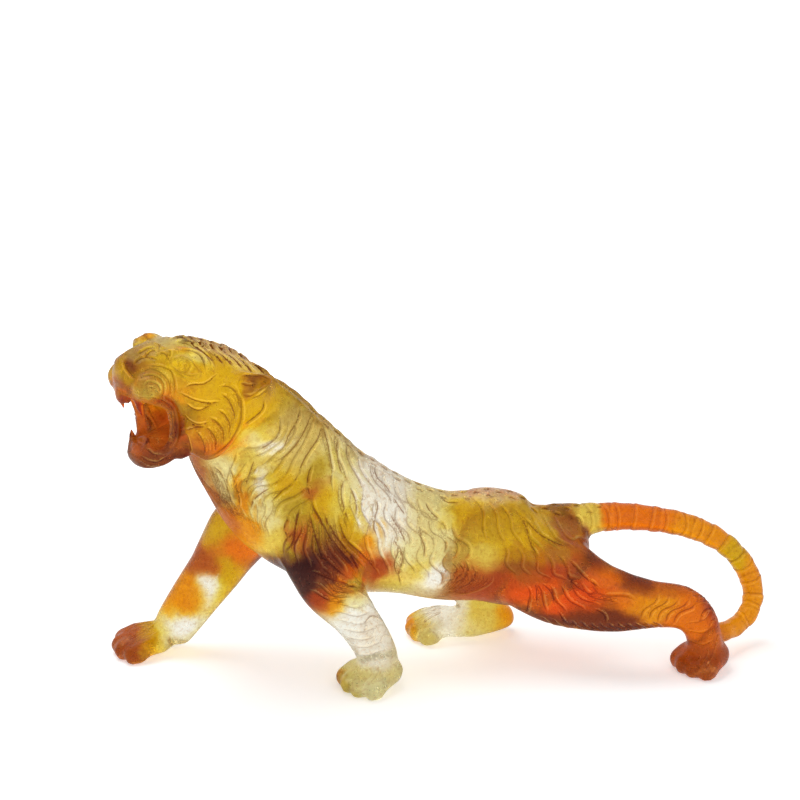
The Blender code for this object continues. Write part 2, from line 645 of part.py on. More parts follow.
def wave_rows():
    """Rows of waves: a landmark, the first and the last wave from it in x and z, number, and sides.

    Side -1 is the left flank and side 1 the right one.
    """
    withers = (SHOULDER_X, BACK_HEIGHT)
    waist = (WAIST_X, BACK_HEIGHT)
    rump = (RUMP_X, RUMP_HEIGHT)
    neck = (withers, ((-0.028, 0.065), (-0.031, 0.052), (-0.042, 0.044), (-0.054, 0.047)),
            ((-0.006, 0.061), (-0.014, 0.043), (-0.022, 0.032), (-0.034, 0.019)), 3, (-1, 1))
    shoulder = (withers, ((-0.032, 0.035), (-0.040, 0.027), (-0.050, 0.023), (-0.056, 0.015)),
                ((-0.004, 0.019), (-0.014, 0.009), (-0.024, 0.001), (-0.030, -0.013)), 3, (-1, 1))
    back = (withers, ((-0.002, 0.059), (-0.002, 0.047), (0.004, 0.033), (0.004, 0.021)),
            ((0.058, 0.005), (0.062, -0.005), (0.072, -0.013), (0.076, -0.023)), 5, (-1, 1))
    flank = (withers, ((0.008, 0.023), (0.006, 0.011), (0.012, -0.001), (0.012, -0.013)),
             ((0.080, -0.011), (0.082, -0.021), (0.088, -0.029), (0.086, -0.039)), 6, (-1, 1))
    belly = (withers, ((0.020, -0.007), (0.022, -0.019), (0.028, -0.029), (0.030, -0.041)),
             ((0.076, -0.027), (0.074, -0.037), (0.080, -0.047), (0.078, -0.055)), 4, (-1, 1))
    upper_arm = (withers, ((-0.022, 0.003), (-0.022, -0.007), (-0.026, -0.017), (-0.028, -0.027)),
                 ((0.006, 0.003), (0.012, -0.013), (0.020, -0.027), (0.034, -0.045)), 5, (-1,))
    loin = (waist, ((-0.016, 0.001), (-0.008, -0.007), (-0.006, -0.017), (-0.004, -0.029)),
            ((0.038, -0.013), (0.046, -0.021), (0.052, -0.027), (0.062, -0.033)), 4, (-1, 1))
    haunch = (rump, ((-0.052, -0.0135), (-0.046, -0.0215), (-0.044, -0.0295), (-0.038, -0.0375)),
              ((-0.016, -0.0215), (-0.008, -0.0295), (-0.006, -0.0355), (0.002, -0.0395)), 3, (-1, 1))
    thigh = (rump, ((-0.036, -0.0395), (-0.032, -0.0475), (-0.030, -0.0555), (-0.032, -0.0635)),
             ((0.004, -0.0375), (0.012, -0.0435), (0.024, -0.0475), (0.036, -0.0515)), 4, (-1,))
    return [neck, shoulder, back, flank, belly, upper_arm, loin, haunch, thigh]


def wave_line(landmark, first, last, share, lag):
    """A wave's places in x and z: a blend of its row's first and last, swung from side to side."""
    guide = smooth_path(np.array(landmark) + np.array(first) * (1 - share) + np.array(last) * share, 16)
    along = np.gradient(guide, axis=0)
    along /= np.linalg.norm(along, axis=1)[:, None]
    across = np.stack([-along[:, 1], along[:, 0]], axis=1)
    run = np.linspace(0.0, 1.0, len(guide))
    swing = WAVE_SWAY * np.sin(2 * math.pi * WAVE_SWINGS * run + lag)
    return guide + across * swing[:, None]


def wave_places(skin):
    """Where the rows of waves lie on the skin, and how deep they are there."""
    outside = 2 * SHOULDER_WIDTH
    for landmark, first, last, count, sides in wave_rows():
        for index in range(count):
            line = wave_line(landmark, first, last, index / (count - 1), WAVE_LAG * index)
            for side in sides:
                for x, z in line:
                    spot = skin.ray_cast(Vector((x, side * outside, z)), ACROSS * -side)[0]
                    if spot:
                        yield spot, WAVE_DEPTH


def crest_places(skin):
    """Where the grooves between the crest's locks lie, from the crown back and outwards."""
    above = Vector((0.0, 0.0, 2 * FOREHEAD_HEIGHT))
    for index in range(CREST_GROOVES):
        start = 0.046 - CREST_GROOVE_STEP * index
        for side in (-1, 1):
            for share in np.linspace(0.0, 1.0, 24):
                over = head_point(start - 0.016 * share, side * (0.002 + 0.012 * share**1.4), 0.0) + above
                spot = skin.ray_cast(over, Vector((0.0, 0.0, -1.0)))[0]
                if spot:
                    yield spot, CREST_GROOVE_DEPTH * math.sin(math.pi * (0.15 + 0.7 * share))


def carve_coat(obj):
    """Presses the waves and the crest's grooves into the skin."""
    skin = skin_of(obj)
    places = [*wave_places(skin), *crest_places(skin)]
    tree = KDTree(len(places))
    for index, (spot, _) in enumerate(places):
        tree.insert(spot, index)
    tree.balance()
    moved = []
    for vert in obj.data.vertices:
        _, index, distance = tree.find(vert.co)
        groove = places[index][1] * math.exp(-(distance / WAVE_HALF_WIDTH) ** 2)
        moved.append(vert.co - vert.normal * groove)
    for vert, place in zip(obj.data.vertices, moved):
        vert.co = place


def thin_out(obj):
    """Fewer faces: evenly down to a first budget, then only away from the head and its fine forms."""
    first = obj.modifiers.new("thin", "DECIMATE")
    first.ratio = FIRST_BUDGET / (2 * len(obj.data.polygons))
    apply_modifiers(obj)
    plain = obj.vertex_groups.new(name="plain")
    neck = HEAD_PLACE[0] + HEAD_WIDTH / 2
    throat = HEAD_PLACE[2] - HEAD_WIDTH * 0.6
    body = [vert.index for vert in obj.data.vertices if vert.co.x > neck or vert.co.z < throat]
    plain.add(body, 1.0, "REPLACE")
    second = obj.modifiers.new("thin", "DECIMATE")
    second.ratio = FACE_BUDGET / len(obj.data.polygons)
    second.vertex_group = plain.name
    apply_modifiers(obj)
    obj.vertex_groups.clear()


def flat_soles(obj):
    """Cuts the paws off level with the ground and closes the cuts."""
    bm = bmesh.new()
    bm.from_mesh(obj.data)
    bmesh.ops.bisect_plane(bm, geom=bm.verts[:] + bm.edges[:] + bm.faces[:], plane_co=(0, 0, 0),
                           plane_no=(0, 0, -1), clear_outer=True)
    bmesh.ops.holes_fill(bm, edges=bm.edges, sides=0)
    bmesh.ops.triangulate(bm, faces=bm.faces)
    bmesh.ops.recalc_face_normals(bm, faces=bm.faces)
    bm.to_mesh(obj.data)
    bm.free()


def centre_on_ground(obj):
    """Moves the mesh so that the middle of its footprint is the origin, and returns the move."""
    corners = np.array([vert.co for vert in obj.data.vertices])
    middle = (corners.min(axis=0) + corners.max(axis=0)) / 2
    move = Vector((-middle[0], -middle[1], 0.0))
    obj.data.transform(Matrix.Translation(move))
    return move


def main():
    """Models the casting and returns how far it was moved to centre it."""
    clear_scene()
    tiger = new_object("tiger_casting", body_masses)
    fuse(tiger, SKIN_GRAIN, BODY_EASING)
    add_mesh(tiger, new_object("ends", end_masses))
    fuse(tiger, SKIN_GRAIN, 4)
    cut_away(tiger, new_object("mouth_cutter", mouth_hollow))
    cut_away(tiger, new_object("ear_cutter", ears, True))
    add_mesh(tiger, new_object("details", details, skin_of(tiger)))
    fuse(tiger, DETAIL_GRAIN, 2)
    carve_coat(tiger)
    thin_out(tiger)
    flat_soles(tiger)
    move = centre_on_ground(tiger)
    tiger.data.shade_smooth()
    tiger.data.materials.clear()
    tiger.data.materials.append(glass())
    return move


if __name__ == "__main__":
    main()
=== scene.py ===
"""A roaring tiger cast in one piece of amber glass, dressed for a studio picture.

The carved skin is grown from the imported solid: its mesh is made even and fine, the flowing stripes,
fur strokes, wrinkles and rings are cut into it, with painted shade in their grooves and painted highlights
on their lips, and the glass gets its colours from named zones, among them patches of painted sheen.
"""

from __future__ import annotations

import json
import logging
import math
from dataclasses import dataclass, field
from enum import Enum

import bmesh
import bpy
import numpy as np
from mathutils import Matrix, Vector, noise
from mathutils.bvhtree import BVHTree
from mathutils.kdtree import KDTree

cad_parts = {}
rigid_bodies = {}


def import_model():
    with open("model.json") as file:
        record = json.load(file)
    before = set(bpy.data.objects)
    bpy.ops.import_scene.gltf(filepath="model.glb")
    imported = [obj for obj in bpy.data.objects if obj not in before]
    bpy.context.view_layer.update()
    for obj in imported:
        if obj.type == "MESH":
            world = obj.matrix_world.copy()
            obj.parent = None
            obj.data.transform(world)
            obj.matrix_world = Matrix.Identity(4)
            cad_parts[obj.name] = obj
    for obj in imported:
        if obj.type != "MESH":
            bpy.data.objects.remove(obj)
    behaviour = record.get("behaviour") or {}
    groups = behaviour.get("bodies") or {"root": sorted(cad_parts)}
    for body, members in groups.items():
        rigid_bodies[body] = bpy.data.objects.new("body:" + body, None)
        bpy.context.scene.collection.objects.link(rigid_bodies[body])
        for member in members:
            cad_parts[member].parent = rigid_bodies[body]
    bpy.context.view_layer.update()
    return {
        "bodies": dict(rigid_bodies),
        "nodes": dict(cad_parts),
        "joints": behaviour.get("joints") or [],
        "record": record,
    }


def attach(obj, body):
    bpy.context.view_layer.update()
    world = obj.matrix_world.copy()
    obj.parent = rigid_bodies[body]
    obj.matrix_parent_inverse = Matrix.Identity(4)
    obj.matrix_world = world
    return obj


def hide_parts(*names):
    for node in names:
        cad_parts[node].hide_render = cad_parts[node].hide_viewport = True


LOG = logging.getLogger("glass_tiger")
MM = 0.001
Triple = tuple[float, float, float]
Colour = Triple
Place = Triple
Point = tuple[float, float]
Line = tuple[Point, ...]

# Glass colours, as the light that comes through the casting, and a painted sheen for the top surfaces
CLEAR: Colour = (0.84, 0.86, 0.80)
PALE: Colour = (0.75, 0.70, 0.32)
STRAW: Colour = (0.69, 0.54, 0.080)
SAND: Colour = (0.62, 0.49, 0.13)
GOLD: Colour = (0.60, 0.36, 0.004)
OLIVE: Colour = (0.42, 0.28, 0.014)
AMBER: Colour = (0.74, 0.28, 0.003)
HONEY: Colour = (0.72, 0.17, 0.003)
ORANGE: Colour = (0.72, 0.080, 0.003)
SIENNA: Colour = (0.42, 0.090, 0.008)
RUST: Colour = (0.36, 0.050, 0.006)
BROWN: Colour = (0.29, 0.085, 0.008)
UMBER: Colour = (0.17, 0.030, 0.006)
DARK: Colour = (0.030, 0.003, 0.002)
# Painted sheen, not a colour of the glass: the whitish rose shine of surfaces that face the top lamp
PAINTED_SHEEN: Colour = (0.92, 0.80, 0.72)


class Facing(Enum):
    """The way a stroke is laid onto the skin."""

    LEFT = "left"
    RIGHT = "right"
    BOTH = "both"
    ABOVE = "above"
    HEAD = "head"
    HEAD_ABOVE = "head above"
    AHEAD = "ahead"
    RING = "ring"


@dataclass(frozen=True)
class Stroke:
    """One incised line.

    Attributes:
        line: Places along it in millimetres, in the plane of its facing or in space for a ring.
        facing: How the line is laid onto the skin.
        width: Half width in millimetres.
        depth: Depth in millimetres.
        ink_and_shade: How dark the glass is made in it, from 0 to 1, as its own colour and as painted groove
            shade.
    """

    line: tuple[tuple[float, ...], ...]
    facing: Facing = Facing.BOTH
    width: float = 1.0
    depth: float = 0.8
    ink_and_shade: float = 0.7


@dataclass(frozen=True)
class StrokeField:
    """A row of strokes that share their run and change evenly from the first to the last.

    Attributes:
        first: The first stroke's places in millimetres.
        last: The last stroke's places, as many as the first has.
        count: How many strokes there are.
        facing: How the strokes are laid onto the skin.
        width: Half width in millimetres.
        depth: Depth in millimetres.
        ink_and_shade: How dark the glass is made in them, from 0 to 1, as their own colour and as painted
            groove shade.
        sway: How far each stroke swings from side to side, in millimetres.
        waves: How many full swings it makes.
        lag: How far each stroke's swing is behind the one before, in radians.
        ragged: How far the ends are pulled about, as a share of the stroke's length.
    """

    first: tuple[Point, ...]
    last: tuple[Point, ...]
    count: int
    facing: Facing = Facing.BOTH
    width: float = 1.0
    depth: float = 0.7
    ink_and_shade: float = 0.7
    sway: float = 1.6
    waves: float = 1.1
    lag: float = 0.35
    ragged: float = 0.12

    def strokes(self, seed: int) -> list[Stroke]:
        """Every stroke of the row.

        Args:
            seed: Start value of the random pulls.

        Returns:
            The strokes, from the first to the last.
        """
        rng = np.random.default_rng(seed)
        start, end = np.array(self.first, float), np.array(self.last, float)
        made = []
        for index in range(self.count):
            share = index / max(self.count - 1, 1)
            guide = smooth_path(start * (1 - share) + end * share, 16)
            along = np.gradient(guide, axis=0)
            along /= np.linalg.norm(along, axis=1)[:, None]
            across = np.stack([-along[:, 1], along[:, 0]], axis=1)
            run = np.linspace(0.0, 1.0, len(guide))
            swing = self.sway * np.sin(2 * math.pi * self.waves * run + self.lag * index)
            path = guide + across * swing[:, None]
            low, high = rng.uniform(0, self.ragged), 1 - rng.uniform(0, self.ragged)
            kept = np.linspace(low, high, 24)
            path = np.stack([np.interp(kept, run, path[:, k]) for k in range(2)], axis=1)
            made.append(Stroke(tuple(map(tuple, path)), self.facing, self.width * rng.uniform(0.8, 1.2),
                               self.depth * rng.uniform(0.8, 1.2), self.ink_and_shade * rng.uniform(0.8, 1.1)))
        return made


def smooth_path(points: np.ndarray, steps: int) -> np.ndarray:
    """A Catmull-Rom curve.

    Args:
        points: The places that it passes through, one a row.
        steps: Steps between two places.

    Returns:
        The curve's places, one a row.
    """
    rows = np.array(points, float)
    ends = np.vstack([2 * rows[0] - rows[1], rows, 2 * rows[-1] - rows[-2]])
    t = (np.arange(steps) / steps)[:, None]
    spans = []
    for a, b, c, d in zip(ends, ends[1:], ends[2:], ends[3:]):
        spans.append(0.5 * (2 * b + (c - a) * t + (2 * a - 5 * b + 4 * c - d) * t**2
                            + (3 * b - a - 3 * c + d) * t**3))
    return np.vstack([*spans, rows[-1:]])


@dataclass(frozen=True)
class HeadFrame:
    """The turned head's own axes: forward to the nose, towards the tiger's left, and up."""

    place: Place = (-0.1282, 0.0035, 0.190)
    turn: float = math.radians(30)

    def axes(self) -> np.ndarray:
        """Forward, left and up as the rows of a matrix."""
        c, s = math.cos(self.turn), math.sin(self.turn)
        return np.array([(-c, -s, 0.0), (s, -c, 0.0), (0.0, 0.0, 1.0)])

    def world(self, local: np.ndarray) -> np.ndarray:
        """Places in space for rows of forward, left and up in metres."""
        return np.array(self.place) + np.asarray(local, float) @ self.axes()

    def local(self, world: np.ndarray) -> np.ndarray:
        """Forward, left and up in metres for rows of places in space."""
        return (np.asarray(world, float) - np.array(self.place)) @ self.axes().T


@dataclass(frozen=True)
class Zone:
    """A soft patch of glass colour.

    Attributes:
        place: Its middle in millimetres: x and z, or forward and up on the head.
        reach: Its half sizes in millimetres.
        colour: The glass's colour there.
        depth: Its middle and half size across, in millimetres, or None where it runs right through.
    """

    place: Point
    reach: Point
    colour: Colour
    depth: Point | None = None


@dataclass(frozen=True)
class GlassColours:
    """Where each colour of the casting lies, a few patches of painted sheen on the top surfaces among them.
    """

    head: HeadFrame = field(default_factory=HeadFrame)
    softness: float = 0.10
    sharpness: float = 2.6
    drifts: tuple[Point, ...] = ((0.030, 0.004), (0.011, 0.0045), (0.0045, 0.002))
    drift_seed: int = 3

    # The head, in its own axes and the same on both sides
    head_zones: tuple[Zone, ...] = (
        Zone((32, 10), (24, 22), GOLD),
        Zone((12, -8), (14, 18), GOLD),
        Zone((44, 34), (16, 8), PALE),
        Zone((56, 30), (9, 7), GOLD),
        Zone((74, 19), (8, 7), STRAW, (20, 8)),
        Zone((86, 26), (9, 10), GOLD, (0, 16)),
        Zone((84, 18), (4, 6), SIENNA, (0, 10)),
        Zone((81, 31), (4, 4), UMBER, (9, 4)),
        Zone((64, 38), (9, 2.5), STRAW, (0, 8)),
        Zone((76, 11), (10, 3), HONEY),
        Zone((65, 5), (3, 8), HONEY, (21, 8)),
        Zone((62, -12), (3, 9), SIENNA, (20, 8)),
        Zone((60, 0), (14, 10), ORANGE, (0, 17)),
        Zone((50, -12), (14, 10), RUST, (0, 17)),
        Zone((66, -21), (12, 6), SIENNA, (0, 13)),
        Zone((66, -34), (20, 11), UMBER),
        Zone((76, -28), (6, 6), SIENNA, (0, 14)),
        Zone((82, 6), (5, 7), SIENNA, (0, 12)),
        Zone((48, -28), (7, 6), SIENNA, (26, 12)),
        Zone((30, -24), (12, 5), HONEY, (30, 12)),
        Zone((17, -14), (5, 9), AMBER, (32, 12)),
        # Painted sheen on the crown and brow, where they face the top lamp
        Zone((30, 36), (14, 7), PAINTED_SHEEN, (10, 26)),
        Zone((16, 30), (14, 9), PAINTED_SHEEN, (14, 28)),
        Zone((0, 22), (10, 7), PAINTED_SHEEN, (12, 26)),
        Zone((18, 12), (11, 10), UMBER, (38, 10)),
        Zone((4, 14), (6, 5), GOLD, (38, 7)),
        Zone((50, 40), (10, 3), AMBER, (16, 6)),
        Zone((52, 40), (10, 4), RUST, (-17, 6)),
    )

    # Neck, throat and chest
    neck_zones: tuple[Zone, ...] = (
        Zone((-124, 168), (10, 10), PALE),
        Zone((-114, 160), (8, 6), CLEAR),
        Zone((-100, 174), (14, 10), SAND),
        Zone((-84, 184), (14, 8), OLIVE),
        Zone((-141, 146), (7, 12), PALE),
        Zone((-126, 144), (6, 12), STRAW),
        Zone((-120, 136), (4, 10), CLEAR),
        Zone((-131, 128), (3, 20), AMBER),
        Zone((-138, 136), (3, 10), PALE),
        Zone((-118, 114), (8, 12), PALE),
        Zone((-155, 140), (2, 14), SIENNA),
        Zone((-146, 118), (4, 12), SIENNA),
        Zone((-137, 106), (7, 7), SIENNA),
        Zone((-126, 106), (6, 8), AMBER),
        Zone((-112, 98), (7, 7), STRAW),
    )

    # Shoulder, flank, belly and back
    trunk_zones: tuple[Zone, ...] = (
        Zone((-93, 152), (12, 14), SAND),
        Zone((-88, 140), (8, 6), OLIVE),
        Zone((-104, 132), (8, 8), GOLD),
        Zone((-100, 121), (8, 7), OLIVE),
        Zone((-82, 120), (9, 8), GOLD),
        Zone((-90, 128), (5, 4), SIENNA),
        Zone((-64, 104), (4, 12), GOLD),
        Zone((-68, 140), (10, 18), PALE),
        Zone((-54, 132), (12, 12), CLEAR),
        Zone((-42, 112), (20, 20), CLEAR),
        Zone((-41, 104), (10, 8), CLEAR),
        Zone((-14, 112), (18, 12), PALE),
        Zone((-56, 98), (6, 6), AMBER),
        Zone((-48, 76), (10, 6), RUST),
        Zone((-56, 86), (5, 6), HONEY),
        Zone((-26, 84), (12, 8), PALE),
        Zone((-20, 76), (7, 7), STRAW),
        Zone((-36, 66), (8, 5), STRAW),
        Zone((-4, 92), (9, 10), PALE),
        Zone((-12, 70), (10, 7), CLEAR),
        Zone((-2, 100), (5, 8), STRAW),
        Zone((12, 106), (12, 10), GOLD),
        Zone((30, 100), (14, 10), GOLD),
        Zone((16, 84), (15, 9), STRAW),
        Zone((24, 96), (14, 8), GOLD),
        Zone((8, 72), (6, 5), SIENNA),
        # Painted sheen along the top edge of the back, where it faces the top lamp
        Zone((22, 118), (22, 7), PAINTED_SHEEN),
        Zone((42, 116), (20, 8), PAINTED_SHEEN),
        Zone((54, 110), (12, 6), OLIVE),
        Zone((14, 65), (9, 4), SIENNA),
        Zone((28, 62), (12, 6), RUST),
    )

    # Both forelegs, the left one nearer than its chest
    foreleg_zones: tuple[Zone, ...] = (
        Zone((-94, 100), (6, 5), SIENNA),
        Zone((-102, 92), (7, 6), OLIVE),
        Zone((-84, 104), (6, 6), OLIVE),
        Zone((-90, 82), (11, 8), DARK),
        Zone((-98, 74), (7, 7), DARK),
        Zone((-73, 88), (9, 6), UMBER),
        Zone((-80, 78), (6, 6), UMBER),
        Zone((-73, 71), (8, 6), HONEY),
        Zone((-66, 84), (4, 6), RUST),
        Zone((-61, 75), (5, 5), OLIVE),
        Zone((-84, 64), (6, 5), RUST),
        Zone((-75, 60), (5, 4), AMBER),
        Zone((-64, 62), (7, 4), PALE),
        Zone((-60, 48), (14, 12), CLEAR, (-36, 24)),
        Zone((-56, 28), (12, 11), CLEAR, (-36, 24)),
        Zone((-60, 10), (13, 8), PALE, (-36, 24)),
        Zone((-73, 9), (4, 7), SIENNA, (-42, 14)),
        Zone((-68, 6), (6, 8), OLIVE, (-46, 12)),
        Zone((-40, 8), (8, 8), PALE, (-36, 24)),
        Zone((-146, 92), (10, 10), GOLD, (30, 28)),
        Zone((-132, 78), (10, 6), HONEY, (30, 28)),
        Zone((-160, 67), (10, 9), SIENNA, (30, 28)),
        Zone((-152, 50), (6, 8), CLEAR, (30, 28)),
        Zone((-172, 50), (10, 9), AMBER, (30, 28)),
        Zone((-142, 56), (5, 10), GOLD, (30, 28)),
        Zone((-182, 40), (6, 9), AMBER, (30, 28)),
        Zone((-170, 22), (11, 8), CLEAR, (30, 28)),
        Zone((-172, 38), (7, 6), AMBER, (30, 28)),
        Zone((-158, 16), (8, 8), PALE, (30, 28)),
        Zone((-209, 11), (8, 12), SIENNA, (34, 30)),
        Zone((-200, 6), (6, 6), SIENNA, (30, 30)),
        Zone((-192, 10), (8, 9), GOLD, (34, 30)),
        Zone((-178, 10), (8, 8), PALE, (34, 30)),
    )

    # Haunches and both hind legs
    hind_zones: tuple[Zone, ...] = (
        Zone((52, 96), (13, 9), GOLD),
        Zone((75, 95), (8, 6), BROWN),
        Zone((76, 109), (9, 6), OLIVE),
        Zone((48, 84), (14, 7), GOLD),
        Zone((44, 71), (12, 6), BROWN),
        Zone((62, 84), (9, 6), OLIVE),
        Zone((64, 73), (10, 5), RUST),
        Zone((80, 79), (7, 5), SIENNA),
        Zone((88, 82), (5, 6), UMBER),
        Zone((63, 56), (18, 9), ORANGE),
        Zone((84, 60), (10, 6), ORANGE),
        Zone((74, 66), (6, 3), RUST),
        Zone((96, 66), (8, 4), HONEY),
        Zone((60, 42), (14, 4), UMBER),
        Zone((80, 38), (20, 6), UMBER),
        Zone((100, 38), (20, 6), UMBER),
        Zone((108, 52), (9, 6), HONEY),
        Zone((98, 43), (10, 4), UMBER),
        Zone((124, 50), (14, 8), AMBER),
        Zone((118, 64), (15, 3.5), UMBER),
        Zone((132, 60), (10, 3), SIENNA),
        Zone((148, 44), (9, 9), HONEY),
        Zone((161, 30), (6, 8), HONEY),
        Zone((166, 44), (4, 8), RUST),
        Zone((156, 10), (13, 10), SIENNA, (-36, 26)),
        Zone((146, 8), (5, 8), SIENNA, (-42, 16)),
        Zone((46, 28), (5, 9), AMBER, (36, 18)),
        Zone((34, 30), (6, 9), STRAW, (36, 18)),
        Zone((26, 26), (6, 9), STRAW, (36, 18)),
        Zone((8, 26), (12, 10), CLEAR, (36, 18)),
        Zone((-4, 16), (9, 7), CLEAR, (38, 18)),
        Zone((-20, 10), (4, 9), AMBER, (38, 18)),
        Zone((-10, 8), (6, 8), STRAW, (38, 18)),
    )

    # The tail, from its root to its end
    tail_zones: tuple[Zone, ...] = (
        Zone((90, 96), (8, 7), STRAW),
        Zone((97, 90), (5, 8), STRAW),
        Zone((112, 92), (10, 7), HONEY),
        Zone((136, 89), (14, 7), HONEY),
        Zone((160, 84), (8, 7), AMBER),
        Zone((176, 76), (10, 8), AMBER),
        Zone((194, 64), (8, 8), GOLD),
        Zone((206, 42), (7, 14), AMBER),
        Zone((194, 18), (12, 7), AMBER, (0, 20)),
    )

    def body_zones(self) -> tuple[Zone, ...]:
        """Every zone off the head, by x and z."""
        return (*self.neck_zones, *self.trunk_zones, *self.foreleg_zones, *self.hind_zones, *self.tail_zones)

    def tints(self, points: np.ndarray) -> np.ndarray:
        """The glass's colour at each place, painted sheen included, where neighbouring colours blend as
        layered glass does.

        Args:
            points: Places in metres, one a row.

        Returns:
            A colour for each place, one a row.
        """
        drift = self.wander(points)
        space = (points + drift) / MM
        local = self.head.local(points + drift) / MM
        total = np.zeros((len(points), 3))
        weight = np.zeros((len(points), 1))
        head_shape = np.stack([local[:, 0], np.abs(local[:, 1]), local[:, 2]], axis=1)
        for zones, frame in ((self.head_zones, head_shape), (self.body_zones(), space)):
            for zone in zones:
                far = ((frame[:, 0] - zone.place[0]) / zone.reach[0]) ** 2
                far += ((frame[:, 2] - zone.place[1]) / zone.reach[1]) ** 2
                if zone.depth:
                    far += ((frame[:, 1] - zone.depth[0]) / zone.depth[1]) ** 2
                share = (1.0 / (far + self.softness))[:, None] ** self.sharpness
                total += share * np.log(zone.colour)
                weight += share
        return np.exp(total / weight)

    def wander(self, points: np.ndarray) -> np.ndarray:
        """A wavering of each place, in metres, so that no zone has a regular edge."""
        noise.seed_set(self.drift_seed)
        moves = np.zeros_like(points)
        for size, reach in self.drifts:
            moves += reach * np.array([noise.noise_vector(Vector(point / size)) for point in points])
        return moves


@dataclass(frozen=True)
class LineGroup:
    """Single lines that are cut alike.

    Attributes:
        width: Half width in millimetres.
        depth: Depth in millimetres.
        ink_and_shade: How dark the glass is made in them, as their own colour and as painted groove shade.
        lines: Places along each in millimetres, in the plane of their facing.
        facing: How the lines are laid onto the skin.
    """

    width: float
    depth: float
    ink_and_shade: float
    lines: tuple[Line, ...]
    facing: Facing = Facing.HEAD

    def strokes(self) -> list[Stroke]:
        """Every line as a stroke."""
        return [Stroke(line, self.facing, self.width, self.depth, self.ink_and_shade) for line in self.lines]


@dataclass(frozen=True)
class HeadLines:
    """The lines of the head, by forward and up, the same on both sides."""

    pad: LineGroup = LineGroup(0.75, 0.6, 0.75, (
        ((80, 23), (76, 25), (71, 25), (67, 22), (66.5, 17), (68, 12.5), (72, 11.5)),
        ((77, 26), (71, 28), (66, 25.5), (63, 20), (63, 15), (64, 11)),
        ((73, 29.5), (66, 29), (61.5, 26), (60.5, 21), (60.5, 15), (61.5, 11)),
        ((79, 21), (75, 22), (71.5, 20.5), (70, 17), (71.5, 14.5)),
    ))
    whisker_marks: LineGroup = LineGroup(0.5, 0.4, 0.9, (
        ((77, 19.5), (74.5, 19), (72.5, 18)),
        ((77, 17.2), (74.5, 16.6)),
        ((76.5, 14.8), (74, 14.2)),
    ))
    bridge: LineGroup = LineGroup(0.85, 0.7, 0.9, (
        ((72, 33), (68, 35.5), (64, 36.5), (62, 34.5), (61.5, 30)),
        ((74, 35), (68, 37.3), (62, 38.2)),
        ((79, 30.5), (74, 33.2), (69, 33.8), (65.5, 32)),
        ((80, 23), (82.5, 28), (82, 33)),
        ((85.5, 18), (85.5, 23), (85, 28)),
    ))
    brow: LineGroup = LineGroup(0.85, 0.8, 0.85, (
        ((54, 38), (48, 37), (44, 33), (42, 28), (41.5, 24)),
        ((50, 39), (43.5, 38), (40, 35), (38.5, 31), (38.5, 26)),
        ((46, 39.6), (39, 38), (34.5, 34.5), (33.5, 30), (35, 25)),
        ((48, 40), (41, 40.3), (33, 37.5), (29.5, 32), (30, 26)),
        ((54, 38.5), (59, 38.8), (61.5, 34)),
    ))
    eye: LineGroup = LineGroup(0.7, 0.6, 0.5, (
        ((62.5, 31.5), (59, 34.8), (54.5, 35.4), (49.5, 31.5), (45.5, 24)),
        ((62.5, 31.5), (60, 27.6), (55, 24.6), (50, 23.4), (45.5, 24)),
        tuple((55.5 + 3.6 * math.cos(t), 30 + 3.6 * math.sin(t)) for t in np.linspace(0, 2 * math.pi, 13)),
    ))
    pupil: LineGroup = LineGroup(0.6, 0.4, 0.6, (
        ((56.6, 30), (55.5, 31.1), (54.4, 30), (55.5, 28.9), (56.6, 30)),
    ))
    cheek: LineGroup = LineGroup(0.7, 0.7, 1.1, (
        ((56, 16), (51, 17.6), (45, 17), (40, 18.5), (34, 22)),
        ((59, 14), (55, 11), (50, 8), (43, 6), (35, 6)),
        ((55, 7), (52, 3.4), (48, 2), (45, 3.4), (41, 5)),
        ((55, 0), (53, -4.5), (49, -6.5), (43, -5)),
        ((54, -11), (51, -8.6), (46, -8)),
    ))
    ruff: LineGroup = LineGroup(0.85, 0.8, 0.95, (
        ((35, 14.5), (28, 13), (23, 6), (21.5, -2)),
        ((35, 11), (30, 6), (26.5, -1), (25, -9)),
        ((39, 2), (33, -3), (29.5, -10), (29, -18)),
        ((44, -2), (39, -6), (34.5, -13), (33.5, -22)),
        ((48, -7), (43, -11), (39, -18), (38, -26)),
        ((51, -10), (48, -15), (45, -22), (43.5, -29)),
        ((54, -12), (52, -18), (50, -26)),
    ))
    rim: LineGroup = LineGroup(1.1, 1.0, 0.8, (
        ((28, 16), (23.5, 9), (20, -2), (21, -13), (27, -22), (35, -27.5), (44, -31.5)),
    ))
    lips: LineGroup = LineGroup(0.9, 0.6, 0.7, (
        ((84, 16), (80, 13), (74, 12), (68.5, 10.4), (63.5, 5), (61.2, -4), (60.5, -14), (62.5, -22.5)),
        ((69, 8.6), (65, 3), (62.8, -6), (62.8, -15), (65.5, -22)),
    ))
    chin: LineGroup = LineGroup(0.8, 0.6, 0.8, (
        ((77, -26), (73, -30), (67, -31), (61.5, -27)),
        ((79, -22), (77.5, -29), (71, -34.5), (64, -34)),
        ((74, -22), (70, -26), (65, -26)),
    ))
    ear: LineGroup = LineGroup(0.8, 0.5, 0.9, (
        ((21, 19), (13, 17.5), (8, 17.5), (3, 14.5)),
        ((19, 7), (14, 5.4), (8, 8.6), (3, 11.5)),
        ((14, 3), (6, 3), (-2, 5)),
        ((20, 14), (15, 11.4), (10, 12)),
    ))

    def ruff_between(self) -> LineGroup:
        """Finer lines between those of the ruff."""
        made = []
        for above, below in zip(self.ruff.lines[:-2], self.ruff.lines[1:-1]):
            for share in (0.33, 0.67):
                line = tuple((a[0] * (1 - share) + b[0] * share, a[1] * (1 - share) + b[1] * share)
                             for a, b in zip(above, below))
                made.append(line[1:])
        return LineGroup(0.55, 0.5, 0.55, tuple(made))

